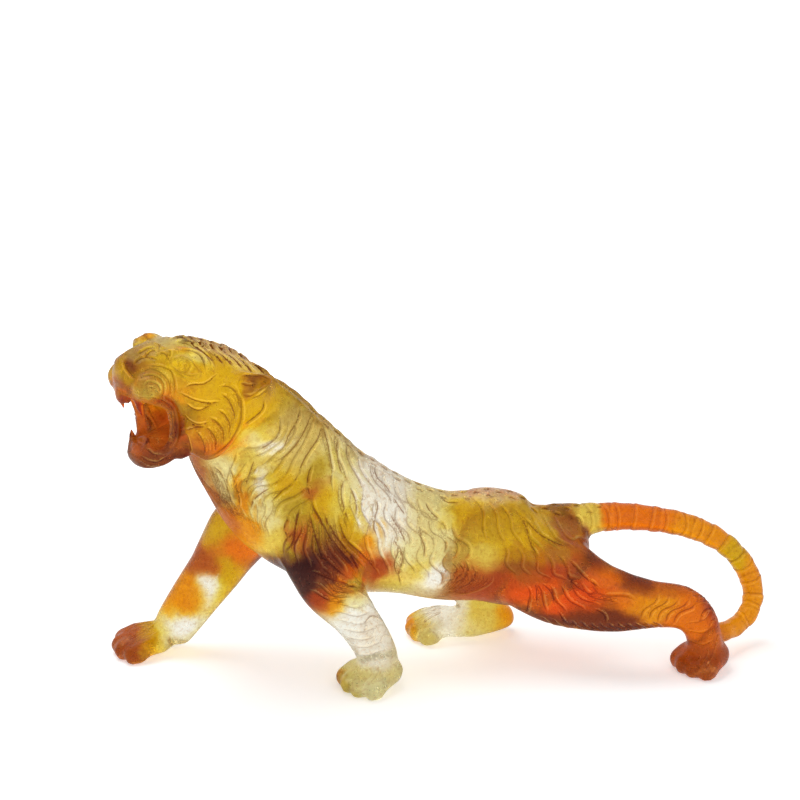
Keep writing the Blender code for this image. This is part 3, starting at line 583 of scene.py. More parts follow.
    def strokes(self) -> list[Stroke]:
        """Every line of the head, from the muzzle back to the ears."""
        groups = (self.pad, self.whisker_marks, self.bridge, self.brow, self.eye, self.pupil, self.cheek,
                  self.ruff, self.ruff_between(), self.rim, self.lips, self.chin, self.ear)
        return [stroke for group in groups for stroke in group.strokes()]


@dataclass
class Carving:
    """The strokes cut into the skin: stripes, fur, wrinkles, face lines and tail rings.

    Attributes:
        head: The turned head's own axes.
        spacing: Step between two places of a stroke, in metres.
        stand_off: How far from the middle the rays start that lay a stroke, in metres.
        flames: How many flames the crest has on each side.
        long_flames: How many of them, from the front, have the longer reach.
        flame_start: Where the first flame leaves the crest, forward on the head, in millimetres.
        flame_gap: Step from flame to flame.
        flame_reaches: How far the long and the short flames run down.
        flame_cuts: How far back each cut of a flame is, with its half width and ink.
        dashes: How many rows of dashes the ridge of the back has.
        dash_start: Where the first row is, by x.
        dash_gap: Step from row to row.
        feet: Each paw's middle by x and y, and the degrees that it is turned by.
        paw_lines: How many lines fan over a paw.
        tail: Places down the middle of the tail.
        rings: How many grooves go round it.
        ring_gap: Step from groove to groove.
        face: The lines of the head.
        neck: The long dark strokes of the neck, throat and chest.
        body: Strokes that stand out from the rows on the shoulder, flank, belly and haunch.
        arm: The broad dark strokes down the left upper arm.
    """

    head: HeadFrame = field(default_factory=HeadFrame)
    spacing: float = 0.6 * MM
    stand_off: float = 0.3
    flames: int = 9
    long_flames: int = 5
    flame_start: float = 41.0
    flame_gap: float = 6.8
    flame_reaches: Point = (24.0, 17.0)
    flame_cuts: tuple[Triple, ...] = ((0.0, 3.1, 2.6), (3.4, 0.5, 0.5))
    dashes: int = 26
    dash_start: float = -86.0
    dash_gap: float = 7.4
    feet: tuple[Triple, ...] = (
        (-51.2, -33.0, 34.0), (-194.2, 38.0, 14.0), (163.8, -34.5, 30.0), (-0.7, 40.0, 12.0),
    )
    paw_lines: int = 9
    tail: tuple[Place, ...] = (
        (88, 5, 91.5), (102, 8.5, 91.4), (121, 8.5, 91.3), (142, 8.5, 88), (161, 8.5, 83.3), (179, 8.5, 75.1),
        (194, 8.5, 63.7), (204, 8.5, 49.5), (209, 7.5, 34.5), (206, 4, 21.5), (195, -4.5, 15.5),
    )
    rings: int = 17
    ring_gap: float = 11.0
    face: HeadLines = field(default_factory=HeadLines)
    neck: LineGroup = LineGroup(1.0, 0.6, 1.0, (
        ((-115, 190), (-116, 184), (-122, 180), (-128, 177)),
        ((-105, 175), (-107, 167), (-113, 162), (-120, 159)),
        ((-92, 181), (-94, 174), (-100, 166), (-104, 159), (-110, 155)),
        ((-84, 176), (-89, 168), (-96, 160), (-103, 154), (-110, 151)),
        ((-78, 169), (-81, 162), (-88, 155), (-93, 148), (-96, 140)),
        ((-93, 146), (-98, 138), (-106, 132), (-114, 124)),
        ((-86, 148), (-89, 142), (-90, 135), (-88, 127)),
        ((-112, 135), (-118, 131), (-123, 126), (-125, 119)),
        ((-138, 150), (-135, 140), (-132, 128), (-132, 117)),
        ((-122, 153), (-125, 144), (-128, 135)),
        ((-148, 149), (-142, 142), (-138, 129), (-135, 117)),
    ), Facing.BOTH)
    body: LineGroup = LineGroup(0.95, 0.6, 1.0, (
        ((-79, 169), (-76, 158), (-75, 150), (-74, 143), (-75, 136), (-74, 129)),
        ((-69, 159), (-70, 151), (-69, 143), (-67, 138)),
        ((-65, 137), (-68, 133), (-69, 127), (-67, 117), (-64, 109)),
        ((-64, 133), (-60, 123), (-60, 114)),
        ((-47, 139), (-45, 133), (-40, 128), (-36, 122)),
        ((-48, 124), (-46, 118), (-48, 112), (-49, 105), (-46, 98)),
        ((-36, 122), (-31, 114), (-26, 108)),
        ((-39, 114), (-36, 108), (-32, 101), (-28, 91)),
        ((-38, 100), (-34, 90), (-36, 79), (-33, 69)),
        ((-34, 95), (-31, 84), (-33, 72), (-31, 61)),
        ((-20, 104), (-19, 96), (-17, 90), (-18, 82)),
        ((-15, 116), (-12, 110), (-6, 105)),
        ((-5, 117), (0, 113), (8, 112)),
        ((9, 80), (11, 72), (7, 65), (-2, 62)),
        ((4, 79), (8, 72), (3, 66), (-4, 65)),
        ((0, 79), (4, 73), (-1, 67)),
        ((13, 77), (16, 69), (11, 61), (1, 57)),
        ((46, 106), (49, 97), (50, 90), (55, 81)),
        ((47, 104), (56, 95), (66, 90), (75, 87)),
        ((52, 66), (53, 59), (53, 52)),
        ((56, 66), (62, 60), (64, 52)),
        ((70, 76), (75, 67), (84, 61), (93, 61)),
        ((73, 81), (82, 71), (92, 64)),
        ((66, 48), (71, 40), (77, 36)),
        ((88, 51), (94, 47), (96, 41)),
    ), Facing.LEFT)
    arm: LineGroup = LineGroup(1.4, 0.9, 1.1, (
        ((-87, 131), (-87, 122), (-81, 111), (-76, 102), (-68, 91), (-58, 78)),
        ((-82, 121), (-77, 110), (-70, 99), (-62, 87), (-57, 73)),
        ((-90, 122), (-88, 112), (-85, 101), (-82, 92), (-74, 84), (-64, 76)),
        ((-95, 122), (-98, 111), (-100, 101), (-104, 95)),
        ((-89, 83), (-79, 79), (-69, 75), (-58, 69)),
        ((-102, 116), (-105, 108), (-103, 102)),
    ), Facing.LEFT)

    def rows(self) -> list[StrokeField]:
        """The rows of flowing strokes over the neck, trunk and legs."""
        both, left, right = Facing.BOTH, Facing.LEFT, Facing.RIGHT
        return [
            StrokeField(((-106, 180), (-109, 167), (-120, 159), (-132, 162)),
                        ((-84, 176), (-92, 158), (-100, 147), (-112, 134)), 5, both, 1.0, 0.7, 0.6),
            StrokeField(((-110, 150), (-118, 142), (-128, 138), (-134, 130)),
                        ((-82, 134), (-92, 124), (-102, 116), (-108, 102)), 5, both, 1.0, 0.7, 0.6),
            StrokeField(((-80, 174), (-80, 162), (-74, 148), (-74, 136)),
                        ((-20, 120), (-16, 110), (-6, 102), (-2, 92)), 9, both, 1.0, 0.7, 0.7),
            StrokeField(((-70, 138), (-72, 126), (-66, 114), (-66, 102)),
                        ((2, 104), (4, 94), (10, 86), (8, 76)), 11, both, 1.0, 0.7, 0.7),
            StrokeField(((-58, 108), (-56, 96), (-50, 86), (-48, 74)),
                        ((-2, 88), (-4, 78), (2, 68), (0, 60)), 7, both, 0.9, 0.6, 0.7),
            StrokeField(((12, 116), (20, 108), (22, 98), (24, 86)),
                        ((66, 102), (74, 94), (80, 88), (90, 82)), 7, both, 0.9, 0.6, 0.5),
            StrokeField(((28, 92), (34, 84), (36, 76), (42, 68)),
                        ((64, 84), (72, 76), (74, 70), (82, 66)), 5, both, 0.9, 0.6, 0.5),
            StrokeField(((44, 66), (48, 58), (50, 50), (48, 42)),
                        ((84, 68), (92, 62), (104, 58), (116, 54)), 7, left, 1.0, 0.7, 0.8),
            StrokeField(((-100, 118), (-100, 108), (-104, 98), (-106, 88)),
                        ((-72, 118), (-66, 102), (-58, 88), (-44, 70)), 9, left, 1.1, 0.9, 0.9),
            StrokeField(((56, 42), (60, 38), (66, 34), (72, 30)),
                        ((126, 42), (128, 38), (132, 35), (134, 32)), 13, left, 1.0, 0.7, 1.0, 0.5),
            StrokeField(((-4, 74), (0, 68), (-2, 62), (-8, 56)),
                        ((26, 72), (26, 64), (16, 56), (2, 52)), 12, both, 0.7, 0.5, 0.6, 0.4),
            StrokeField(((-84, 92), (-76, 84), (-72, 78), (-64, 72)),
                        ((-92, 70), (-84, 68), (-74, 64), (-64, 62)), 5, left, 1.1, 0.8, 0.9, 1.2),
            StrokeField(((-82, 60), (-74, 62), (-62, 60), (-50, 60)),
                        ((-68, 26), (-62, 27), (-52, 28), (-42, 30)), 7, left, 0.9, 0.7, 0.5, 1.0),
            StrokeField(((-152, 152), (-148, 136), (-140, 120), (-128, 106)),
                        ((-144, 146), (-138, 130), (-132, 118), (-120, 106)), 5, both, 0.9, 0.7, 0.9, 0.8),
            StrokeField(((-134, 126), (-130, 116), (-124, 110), (-122, 100)),
                        ((-112, 128), (-112, 118), (-116, 110), (-114, 98)), 5, both, 0.8, 0.5, 0.6, 0.8),
            StrokeField(((-132, 162), (-136, 150), (-138, 138), (-134, 128)),
                        ((-112, 146), (-120, 138), (-126, 132), (-126, 122)), 4, both, 0.8, 0.5, 0.6, 0.8),
            StrokeField(((130, 60), (126, 54), (120, 48), (118, 40)),
                        ((158, 56), (152, 48), (142, 44), (138, 36)), 5, left, 0.9, 0.7, 0.8, 1.0),
            StrokeField(((146, 36), (152, 37), (160, 40), (168, 46)),
                        ((146, 22), (152, 23), (160, 22), (168, 24)), 3, left, 0.8, 0.6, 0.6, 0.8),
            StrokeField(((-118, 92), (-126, 86), (-134, 80), (-144, 78)),
                        ((-152, 36), (-162, 36), (-172, 40), (-184, 42)), 9, right, 0.8, 0.4, 0.3, 1.2),
            StrokeField(((66, 84), (56, 76), (46, 70), (38, 58)),
                        ((30, 84), (24, 76), (18, 66), (18, 54)), 7, right, 1.0, 0.7, 0.5),
            StrokeField(((14, 36), (22, 34), (30, 32), (38, 32)),
                        ((20, 18), (28, 16), (36, 14), (44, 14)), 4, right, 0.8, 0.5, 0.4, 0.8),
        ]

    def chest_strokes(self) -> list[Stroke]:
        """The long strokes down the front of the throat and chest, by y and z."""
        made, high = [], 152
        for index in range(9):
            share = index / 4 - 1
            low = 100 + 8 * abs(share) + 4 * (index % 2)
            line = tuple((4 + share * (9 + 13 * t) + 1.4 * math.sin(5 * t + index), high + (low - high) * t)
                         for t in np.linspace(0, 1, 9))
            made.append(Stroke(line, Facing.AHEAD, 0.9, 0.7, 0.8))
        return made

    def flame_strokes(self) -> list[Stroke]:
        """The dark flames down both sides of the crest, from above."""
        made = []
        for index in range(self.flames):
            start = self.flame_start - self.flame_gap * index
            reach = self.flame_reaches[0 if index < self.long_flames else 1]
            for side in (-1, 1):
                for back, width, ink_and_shade in self.flame_cuts:
                    line = tuple((start - back - 2 * t - 4 * t**2, side * reach * t)
                                 for t in np.linspace(0, 1.1, 9))
                    made.append(Stroke(line, Facing.HEAD_ABOVE, width, 0.5 * width, ink_and_shade))
        return made

    def ridge_dashes(self) -> list[Stroke]:
        """Short dashes down the ridge of the back, two and one in turn."""
        made = []
        for index in range(self.dashes):
            x = self.dash_start + self.dash_gap * index
            for side in (-1, 0, 1):
                if (index + side) % 2 == 0:
                    line = ((x, side * 3.6), (x + 2.6, side * 4.2 + 0.4), (x + 5.0, side * 5.0))
                    made.append(Stroke(line, Facing.ABOVE, 0.9, 0.8, 0.9))
        return made

    def paw_strokes(self) -> list[Stroke]:
        """Fine lines fanned over each paw, from above, with deeper ones between the toes."""
        made, half, last = [], (self.paw_lines - 1) / 2, self.paw_lines - 1
        for x, y, degrees in self.feet:
            turn = math.radians(degrees)
            ahead = np.array((-math.cos(turn), -math.sin(turn)))
            beside = np.array((math.sin(turn), -math.cos(turn)))
            for index in range(self.paw_lines):
                fan = index / half - 1
                line = tuple(tuple(np.array((x, y)) + ahead * (22 * t - 8) + beside * fan * (9 + 5 * t))
                             for t in np.linspace(0, 1, 6))
                cleft = index % 2 == 0 and index not in (0, last)
                width, depth, ink_and_shade = (0.9, 0.8, 0.8) if cleft else (0.6, 0.4, 0.4)
                made.append(Stroke(line, Facing.ABOVE, width, depth, ink_and_shade))
        return made

    def tail_rings(self) -> list[Stroke]:
        """Closed grooves round the tail, at uneven steps along it."""
        path = smooth_path(np.array(self.tail), 16)
        walked = np.concatenate([[0.0], np.cumsum(np.linalg.norm(np.diff(path, axis=0), axis=1))])
        made = []
        for index in range(self.rings):
            at = 4 + index * self.ring_gap + 1.5 * math.sin(2.1 * index)
            if at > walked[-1] - 3:
                break
            place = np.array([np.interp(at, walked, path[:, k]) for k in range(3)])
            ahead = np.array([np.interp(at + 1, walked, path[:, k]) for k in range(3)]) - place
            ahead /= np.linalg.norm(ahead)
            side = np.cross(ahead, (0, 1, 0))
            side /= np.linalg.norm(side)
            other = np.cross(ahead, side)
            slant = 2.2 * math.sin(1.3 * index)
            line = []
            for turn in np.linspace(0, 2 * math.pi, 25):
                spot = place + 13 * (side * math.cos(turn) + other * math.sin(turn))
                line.append(tuple(spot + ahead * slant * math.sin(turn)))
            made.append(Stroke(tuple(line), Facing.RING, 0.9, 0.35, 0.45))
        return made

    def all_strokes(self) -> list[Stroke]:
        """Every stroke of the carving."""
        made = []
        for seed, row in enumerate(self.rows(), 3):
            made.extend(row.strokes(seed))
        for part in (self.face.strokes, self.neck.strokes, self.chest_strokes, self.body.strokes,
                     self.arm.strokes, self.flame_strokes, self.ridge_dashes, self.paw_strokes,
                     self.tail_rings):
            made.extend(part())
        return made

    def shots(self, facing: Facing, line: np.ndarray) -> list[tuple[np.ndarray, Vector]]:
        """The rays that lay a line onto the skin.

        Args:
            facing: How the line is laid.
            line: Its places in metres, in the plane of the facing.

        Returns:
            For each side that it lies on, where the rays start and which way they go.
        """
        first, second = line.T
        away = np.full(len(line), self.stand_off)
        if facing is Facing.AHEAD:
            return [(np.stack([-2 * away, first, second], axis=1), Vector((1, 0, 0)))]
        if facing in (Facing.ABOVE, Facing.HEAD_ABOVE):
            starts = np.stack([first, second, away], axis=1)
            on_head = facing is Facing.HEAD_ABOVE
            return [(self.head.world(starts) if on_head else starts, Vector((0, 0, -1)))]
        made = []
        for side, name in ((-1, Facing.LEFT), (1, Facing.RIGHT)):
            starts = np.stack([first, side * away, second], axis=1)
            if facing is Facing.HEAD:
                made.append((self.head.world(starts), Vector(self.head.axes()[1] * -side)))
            elif facing in (name, Facing.BOTH):
                made.append((starts, Vector((0, -side, 0))))
        return made

    def laid(self, stroke: Stroke, skin: BVHTree) -> list[np.ndarray]:
        """The stroke's places on the skin.

        Args:
            stroke: The stroke to lay.
            skin: The tree of the skin's faces.

        Returns:
            One run of places in metres for each side that it lies on.
        """
        line = smooth_path(np.array(stroke.line, float) * MM, 5)
        length = np.concatenate([[0.0], np.cumsum(np.linalg.norm(np.diff(line, axis=0), axis=1))])
        count = max(int(length[-1] / self.spacing), 4)
        even = np.linspace(0.0, length[-1], count)
        line = np.stack([np.interp(even, length, line[:, k]) for k in range(line.shape[1])], axis=1)
        if stroke.facing is Facing.RING:
            runs = [[skin.find_nearest(Vector(spot))[0] for spot in line]]
        else:
            runs = [[skin.ray_cast(Vector(spot), aim)[0] for spot in starts]
                    for starts, aim in self.shots(stroke.facing, line)]
        met = [[spot for spot in run if spot is not None] for run in runs]
        return [np.array(run) for run in met if len(run) >= 4]

    def trace(self, skin: BVHTree) -> TracedStrokes:
        """Lays every stroke onto the skin.

        Args:
            skin: The tree of the skin's faces.

        Returns:
            The strokes' places, ready to be looked up.
        """
        spots, tangents, sizes = [], [], []
        for stroke in self.all_strokes():
            for run in self.laid(stroke, skin):
                along = np.gradient(run, axis=0)
                along /= np.linalg.norm(along, axis=1)[:, None] + 1e-12
                share = np.linspace(0.0, 1.0, len(run))
                taper = np.clip(np.sin(math.pi * share) * 1.9, 0.12, 1.0)
                if stroke.facing is Facing.RING:
                    taper = np.ones(len(run))
                spots.extend(run)
                tangents.extend(along)
                sizes.extend((stroke.width * thin**0.5, stroke.depth * thin, stroke.ink_and_shade * thin)
                             for thin in taper)
        return TracedStrokes(np.array(spots), np.array(tangents), np.array(sizes))


class TracedStrokes:
    """Strokes as places on the skin, with the direction, width, depth and ink at each."""

    reach = 4.5 * MM
    nowhere = 9.0

    def __init__(self, spots: np.ndarray, tangents: np.ndarray, sizes: np.ndarray) -> None:
        """Keeps the places and makes the tree that finds the nearest."""
        self.spots, self.tangents, self.sizes = spots, tangents, sizes
        self.tree = KDTree(len(spots))
        for index, spot in enumerate(spots):
            self.tree.insert(spot, index)
        self.tree.balance()

    def around(self, points: np.ndarray, normals: np.ndarray) -> dict[str, np.ndarray]:
        """How the strokes shape and colour each place of the skin.

        Args:
            points: The skin's places in metres.
            normals: Its outward directions.

        Returns:
            For each place its "height" to add in metres, the "ink" of the nearest stroke, as its own dark
            colour and its painted groove shade, and the distance to it in half widths: "near" unsigned, and
            "offset" with the stroke's two sides told apart.
        """
        found = [self.tree.find(point) for point in points]
        which = np.array([index for _, index, _ in found])
        close = np.array([far for _, _, far in found]) < self.reach
        gap = points - self.spots[which]
        gap -= normals * np.sum(gap * normals, axis=1)[:, None]
        near = np.linalg.norm(gap, axis=1) / MM
        side = np.sum(gap * np.cross(self.tangents[which], normals), axis=1)
        offset = np.where(side < 0, -near, near)
        wide, deep, dark = self.sizes[which].T
        groove = np.exp(-((offset / (wide * np.where(offset > 0, 2.1, 1.0))) ** 2))
        lip = np.exp(-(((offset + 2.0 * wide) / (1.1 * wide)) ** 2))
        height = np.where(close, deep * MM * (0.30 * lip - groove), 0.0)
        return {
            "height": height,
            "ink_and_shade": np.where(close, dark, 0.0),
            "near": np.where(close, near / wide, self.nowhere),
            "offset": np.where(close, offset / wide, self.nowhere),
        }


@dataclass(frozen=True)
class Socket:
    """A shader value that takes part in written sums."""

    tree: bpy.types.NodeTree
    source: bpy.types.NodeSocket

    def _math(self, operation: str, other: Socket | float, flipped: bool = False) -> Socket:
        """A Math node of this value and another, in the given order."""
        pair = (other, self) if flipped else (self, other)
        return node(self.tree, "ShaderNodeMath", {"operation": operation}, {0: pair[0], 1: pair[1]})

    def __add__(self, other: Socket | float) -> Socket:
        """This value plus another."""
        return self._math("ADD", other)

    def __radd__(self, other: float) -> Socket:
        """A number plus this value."""
        return self._math("ADD", other, True)

    def __sub__(self, other: Socket | float) -> Socket:
        """This value less another."""
        return self._math("SUBTRACT", other)

    def __rsub__(self, other: float) -> Socket:
        """A number less this value."""
        return self._math("SUBTRACT", other, True)

    def __mul__(self, other: Socket | float) -> Socket:
        """This value times another."""
        return self._math("MULTIPLY", other)

    def __rmul__(self, other: float) -> Socket:
        """A number times this value."""
        return self._math("MULTIPLY", other, True)

    def __truediv__(self, other: Socket | float) -> Socket:
        """This value divided by another."""
        return self._math("DIVIDE", other)

    def __abs__(self) -> Socket:
        """This value without its sign."""
        return self._math("ABSOLUTE", 0.0)

    def limited(self) -> Socket:
        """This value kept between 0 and 1."""
        return node(self.tree, "ShaderNodeClamp", {}, {"Value": self})


def node(tree: bpy.types.NodeTree, kind: str, settings: dict[str, object], inputs: dict[int | str, object],
         output: int | str = 0) -> Socket:
    """Adds a shader node.

    Args:
        tree: The material's nodes.
        kind: The node's type.
        settings: Its own settings, made first.
        inputs: Values or links of its sockets.
        output: The socket that is handed back.

    Returns:
        The node's output, ready for sums.
    """
    made = tree.nodes.new(kind)
    for name, value in settings.items():
        setattr(made, name, value)
    for name, value in inputs.items():
        if isinstance(value, Socket):
            tree.links.new(value.source, made.inputs[name])
        else:
            made.inputs[name].default_value = value
    return Socket(tree, made.outputs[output])


@dataclass(frozen=True)
class CastGlass:
    """Satin cast glass whose colour follows the skin's own zones, with painted shade in its grooves and a
    painted highlight on the lip beside each.
    """

    name: str = "amber_cast_glass"
    roughness: float = 0.30
    transmission: float = 0.85
    ior: float = 1.22
    shine: float = 0.07
    coat: float = 0.012
    coat_roughness: float = 0.16
    line_width: float = 0.55
    line_shade_strength: float = 0.9
    groove_band_width: float = 2.1
    groove_shade_strength: float = 0.45
    ridge_place: float = 1.9
    ridge_width: float = 0.9
    ridge_highlight_strength: float = 0.8
    veil_scale: float = 38.0
    grain_scale: float = 480.0
    bump_strength: float = 0.5
    bump_depth: float = 0.0008
    veil_colour: Colour = (0.88, 0.70, 0.46)
    groove_shade_colour: Colour = (0.66, 0.47, 0.22)
    line_shade_colour: Colour = (0.20, 0.07, 0.03)
    grain_colour: Colour = (0.62, 0.43, 0.27)
    ridge_highlight: Colour = (0.46, 0.33, 0.10)

    def material(self) -> bpy.types.Material:
        """The glass as a material."""
        made = bpy.data.materials.new(self.name)
        made.use_nodes = True
        tree = made.node_tree
        shader = tree.nodes["Principled BSDF"]
        for name, value in (("Transmission Weight", self.transmission), ("IOR", self.ior),
                            ("Specular IOR Level", self.shine), ("Coat Weight", self.coat),
                            ("Coat Roughness", self.coat_roughness)):
            shader.inputs[name].default_value = value
        place = node(tree, "ShaderNodeTexCoord", {}, {}, "Object")
        tint = node(tree, "ShaderNodeAttribute", {"attribute_name": "tint"}, {}, "Color")
        ink_and_shade, near, offset = (node(tree, "ShaderNodeAttribute", {"attribute_name": name}, {}, "Fac")
                             for name in ("ink_and_shade", "near", "offset"))
        veil = self._noise(tree, place, self.veil_scale, 0.8)
        grain = self._noise(tree, place, self.grain_scale, 0.6)
        # Painted shade in the grooves: a broad darker band round each stroke and a thin dark line along it,
        # as strong as the stroke's darkness, which on the dark stripes is also their own colour
        line = ((1 - abs(offset) / self.line_width) * 2.0).limited() * ((2.0 - near) / 0.8).limited() * ink_and_shade
        groove_band = (1 - near / self.groove_band_width).limited() * ink_and_shade
        ridge = (1 - abs(offset + self.ridge_place) / self.ridge_width).limited()
        ridge = ridge * ((3.2 - near) / 0.8).limited() * ink_and_shade
        deeper = self._tinted(tree, tint, self.veil_colour)
        veiled = self._mix(tree, (veil - 0.5) * 1.8 + 0.15, tint, deeper)
        speckled = self._tinted(tree, veiled, self.grain_colour)
        grained = self._mix(tree, (grain - 0.48) * 3.4, veiled, speckled)
        darker = self._tinted(tree, grained, self.groove_shade_colour)
        groove_shaded = self._mix(tree, groove_band * self.groove_shade_strength, grained, darker)
        darkest = self._tinted(tree, groove_shaded, self.line_shade_colour)
        lined = self._mix(tree, line * self.line_shade_strength, groove_shaded, darkest)
        # Painted highlight: pale light added on the raised lip beside each groove
        colour = self._mix(tree, ridge * self.ridge_highlight_strength, lined, (*self.ridge_highlight, 1.0), "ADD")
        tree.links.new(colour.source, shader.inputs["Base Color"])
        rough = self.roughness + (grain - 0.5) * 0.2
        tree.links.new(rough.source, shader.inputs["Roughness"])
        height = grain * 0.8 - line * 0.7 - groove_band * 0.4 + ridge * 0.25
        bump = node(tree, "ShaderNodeBump", {}, {"Strength": self.bump_strength, "Distance": self.bump_depth,
                                                 "Height": height}, "Normal")
        tree.links.new(bump.source, shader.inputs["Normal"])
        return made

    @staticmethod
    def _noise(tree: bpy.types.NodeTree, place: Socket, scale: float, distortion: float) -> Socket:
        """Cloudy noise in the casting's own space."""
        return node(tree, "ShaderNodeTexNoise", {},
                    {"Vector": place, "Scale": scale, "Detail": 3.0, "Distortion": distortion}, "Fac")

    @staticmethod
    def _tinted(tree: bpy.types.NodeTree, colour: Socket, filter_colour: Colour) -> Socket:
        """A colour seen through a filter."""
        return node(tree, "ShaderNodeMix", {"data_type": "RGBA", "blend_type": "MULTIPLY"},
                    {"Factor": 1.0, "A": colour, "B": (*filter_colour, 1.0)}, "Result")

    @staticmethod
    def _mix(tree: bpy.types.NodeTree, factor: Socket, first: Socket, second: object,
             kind: str = "MIX") -> Socket:
        """A blend of two colours."""
        settings = {"data_type": "RGBA", "blend_type": kind, "clamp_factor": True, "clamp_result": True}
        return node(tree, "ShaderNodeMix", settings, {"Factor": factor, "A": first, "B": second}, "Result")


@dataclass
class TigerCasting:
    """The whole figure as one piece of carved glass.

    Attributes:
        solid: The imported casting, which stays as it is.
        mesh_step: The fine mesh's step in metres.
        first_easing: How many times the whole skin is eased.
        body_easing: How many times more it is eased off the head.
        eased_from: Height above which the skin is eased, in metres.
        carved_from: Height above which strokes are cut, in metres.
        head_from: Height above which the head may be, in metres.
        triangles: How many triangles the finished skin has.
        head: The turned head's own axes.
        slant: The way that colours run through the glass.
        turn_over: How far the skin has turned from the slant where a colour has wholly run through.
        carving: The strokes.
        colours: The glass colours.
        finish: The glass.
    """

    solid: bpy.types.Object
    mesh_step: float = 0.00108
    first_easing: int = 5
    body_easing: int = 8
    eased_from: float = 0.0016
    carved_from: float = 0.0012
    head_from: float = 0.14
    triangles: int = 192_000
    head: HeadFrame = field(default_factory=HeadFrame)
    slant: Place = (0.11, 1.0, -0.25)
    turn_over: float = 0.3
    carving: Carving = field(default_factory=Carving)
    colours: GlassColours = field(default_factory=GlassColours)
    finish: CastGlass = field(default_factory=CastGlass)

    def build(self) -> bpy.types.Object:
        """Makes the carved casting, with its colours and its glass.

        Returns:
            The finished object.
        """
        tiger = self._fine_copy()
        self._ease(tiger)
        self._carve(tiger)
        tiger.data.shade_smooth()
        tiger.data.materials.clear()
        tiger.data.materials.append(self.finish.material())
        return tiger

    def _fine_copy(self) -> bpy.types.Object:
        """A copy of the solid with an even, fine mesh."""
        bm = bmesh.new()
        bm.from_mesh(self.solid.data)
        bmesh.ops.remove_doubles(bm, verts=bm.verts, dist=1e-6)
        mesh = bpy.data.meshes.new("tiger_carved_glass")
        bm.to_mesh(mesh)
        bm.free()
        tiger = bpy.data.objects.new("tiger_carved_glass", mesh)
        bpy.context.scene.collection.objects.link(tiger)
        even = tiger.modifiers.new("even", "REMESH")
        even.mode = "VOXEL"
        even.voxel_size = self.mesh_step
        graph = bpy.context.evaluated_depsgraph_get()
        fine = bpy.data.meshes.new_from_object(tiger.evaluated_get(graph))
        tiger.modifiers.clear()
        tiger.data = fine
        return tiger

    def _ease(self, tiger: bpy.types.Object) -> None:
        """Takes the facets out of the skin, less on the head and nothing at the soles."""
        bm = bmesh.new()
        bm.from_mesh(tiger.data)
        places = np.array([vert.co for vert in bm.verts])
        on_head = (self.head.local(places)[:, 0] > 0.0) & (places[:, 2] > self.head_from)
        raised = places[:, 2] > self.eased_from
        everywhere = [vert for vert, up in zip(bm.verts, raised) if up]
        body = [vert for vert, up, face in zip(bm.verts, raised, on_head) if up and not face]
        for verts, times in ((everywhere, self.first_easing), (body, self.body_easing)):
            for _ in range(times):
                bmesh.ops.smooth_vert(bm, verts=verts, factor=0.5, use_axis_x=True, use_axis_y=True,
                                      use_axis_z=True)
        bm.to_mesh(tiger.data)
        bm.free()

    def _carve(self, tiger: bpy.types.Object) -> None:
        """Cuts the strokes into the skin, thins the mesh where it is plain, and stores the colours."""
        strokes = self.carving.trace(self._tree(tiger))
        places, normals = self._skin(tiger)
        height = strokes.around(places, normals)["height"]
        height[places[:, 2] < self.carved_from] = 0.0
        places = places + normals * height[:, None]
        tiger.data.vertices.foreach_set("co", places.reshape(-1))
        self._thin(tiger)
        places, normals = self._skin(tiger)
        values = strokes.around(places, normals)
        for name in ("ink_and_shade", "near", "offset"):
            tiger.data.attributes.new(name, "FLOAT", "POINT").data.foreach_set("value", values[name])
        tints = self.colours.tints(self._through(self._tree(tiger), places, normals))
        tints = np.hstack([tints, np.ones((len(places), 1))])
        tiger.data.attributes.new("tint", "FLOAT_COLOR", "POINT").data.foreach_set("color", tints.reshape(-1))

    def _through(self, skin: BVHTree, places: np.ndarray, normals: np.ndarray) -> np.ndarray:
        """Where on the left each place's colour shows, because colours run through the glass on one slant.

        Args:
            skin: The tree of the skin's faces.
            places: The skin's places in metres.
            normals: Its outward directions.

        Returns:
            For each place the one where its slant meets the left side, and on the left the place itself.
        """
        slant = Vector(self.slant).normalized()
        turned = normals @ np.array(slant)
        moved = places.copy()
        for index in np.flatnonzero(turned > 0.0):
            met = skin.ray_cast(Vector(places[index]) - slant * MM, -slant)[0]
            if met is not None:
                moved[index] += (np.array(met) - places[index]) * min(turned[index] / self.turn_over, 1.0)
        return moved

    @staticmethod
    def _tree(tiger: bpy.types.Object) -> BVHTree:
        """The tree of the skin's faces."""
        bm = bmesh.new()
        bm.from_mesh(tiger.data)
        tree = BVHTree.FromBMesh(bm)
        bm.free()
        return tree

    @staticmethod
    def _skin(tiger: bpy.types.Object) -> tuple[np.ndarray, np.ndarray]:
        """The skin's places and its outward directions."""
        count = len(tiger.data.vertices)
        places, normals = np.empty(count * 3), np.empty(count * 3)
        tiger.data.vertices.foreach_get("co", places)
        tiger.data.vertex_normals.foreach_get("vector", normals)
        return places.reshape(-1, 3), normals.reshape(-1, 3)

    def _thin(self, tiger: bpy.types.Object) -> None:
        """Takes faces away where the skin is plain."""
        tiger.data.update()
        thin = tiger.modifiers.new("thin", "DECIMATE")
        thin.ratio = self.triangles / (2 * len(tiger.data.polygons))
        graph = bpy.context.evaluated_depsgraph_get()
        mesh = bpy.data.meshes.new_from_object(tiger.evaluated_get(graph))
        tiger.modifiers.clear()
        tiger.data = mesh


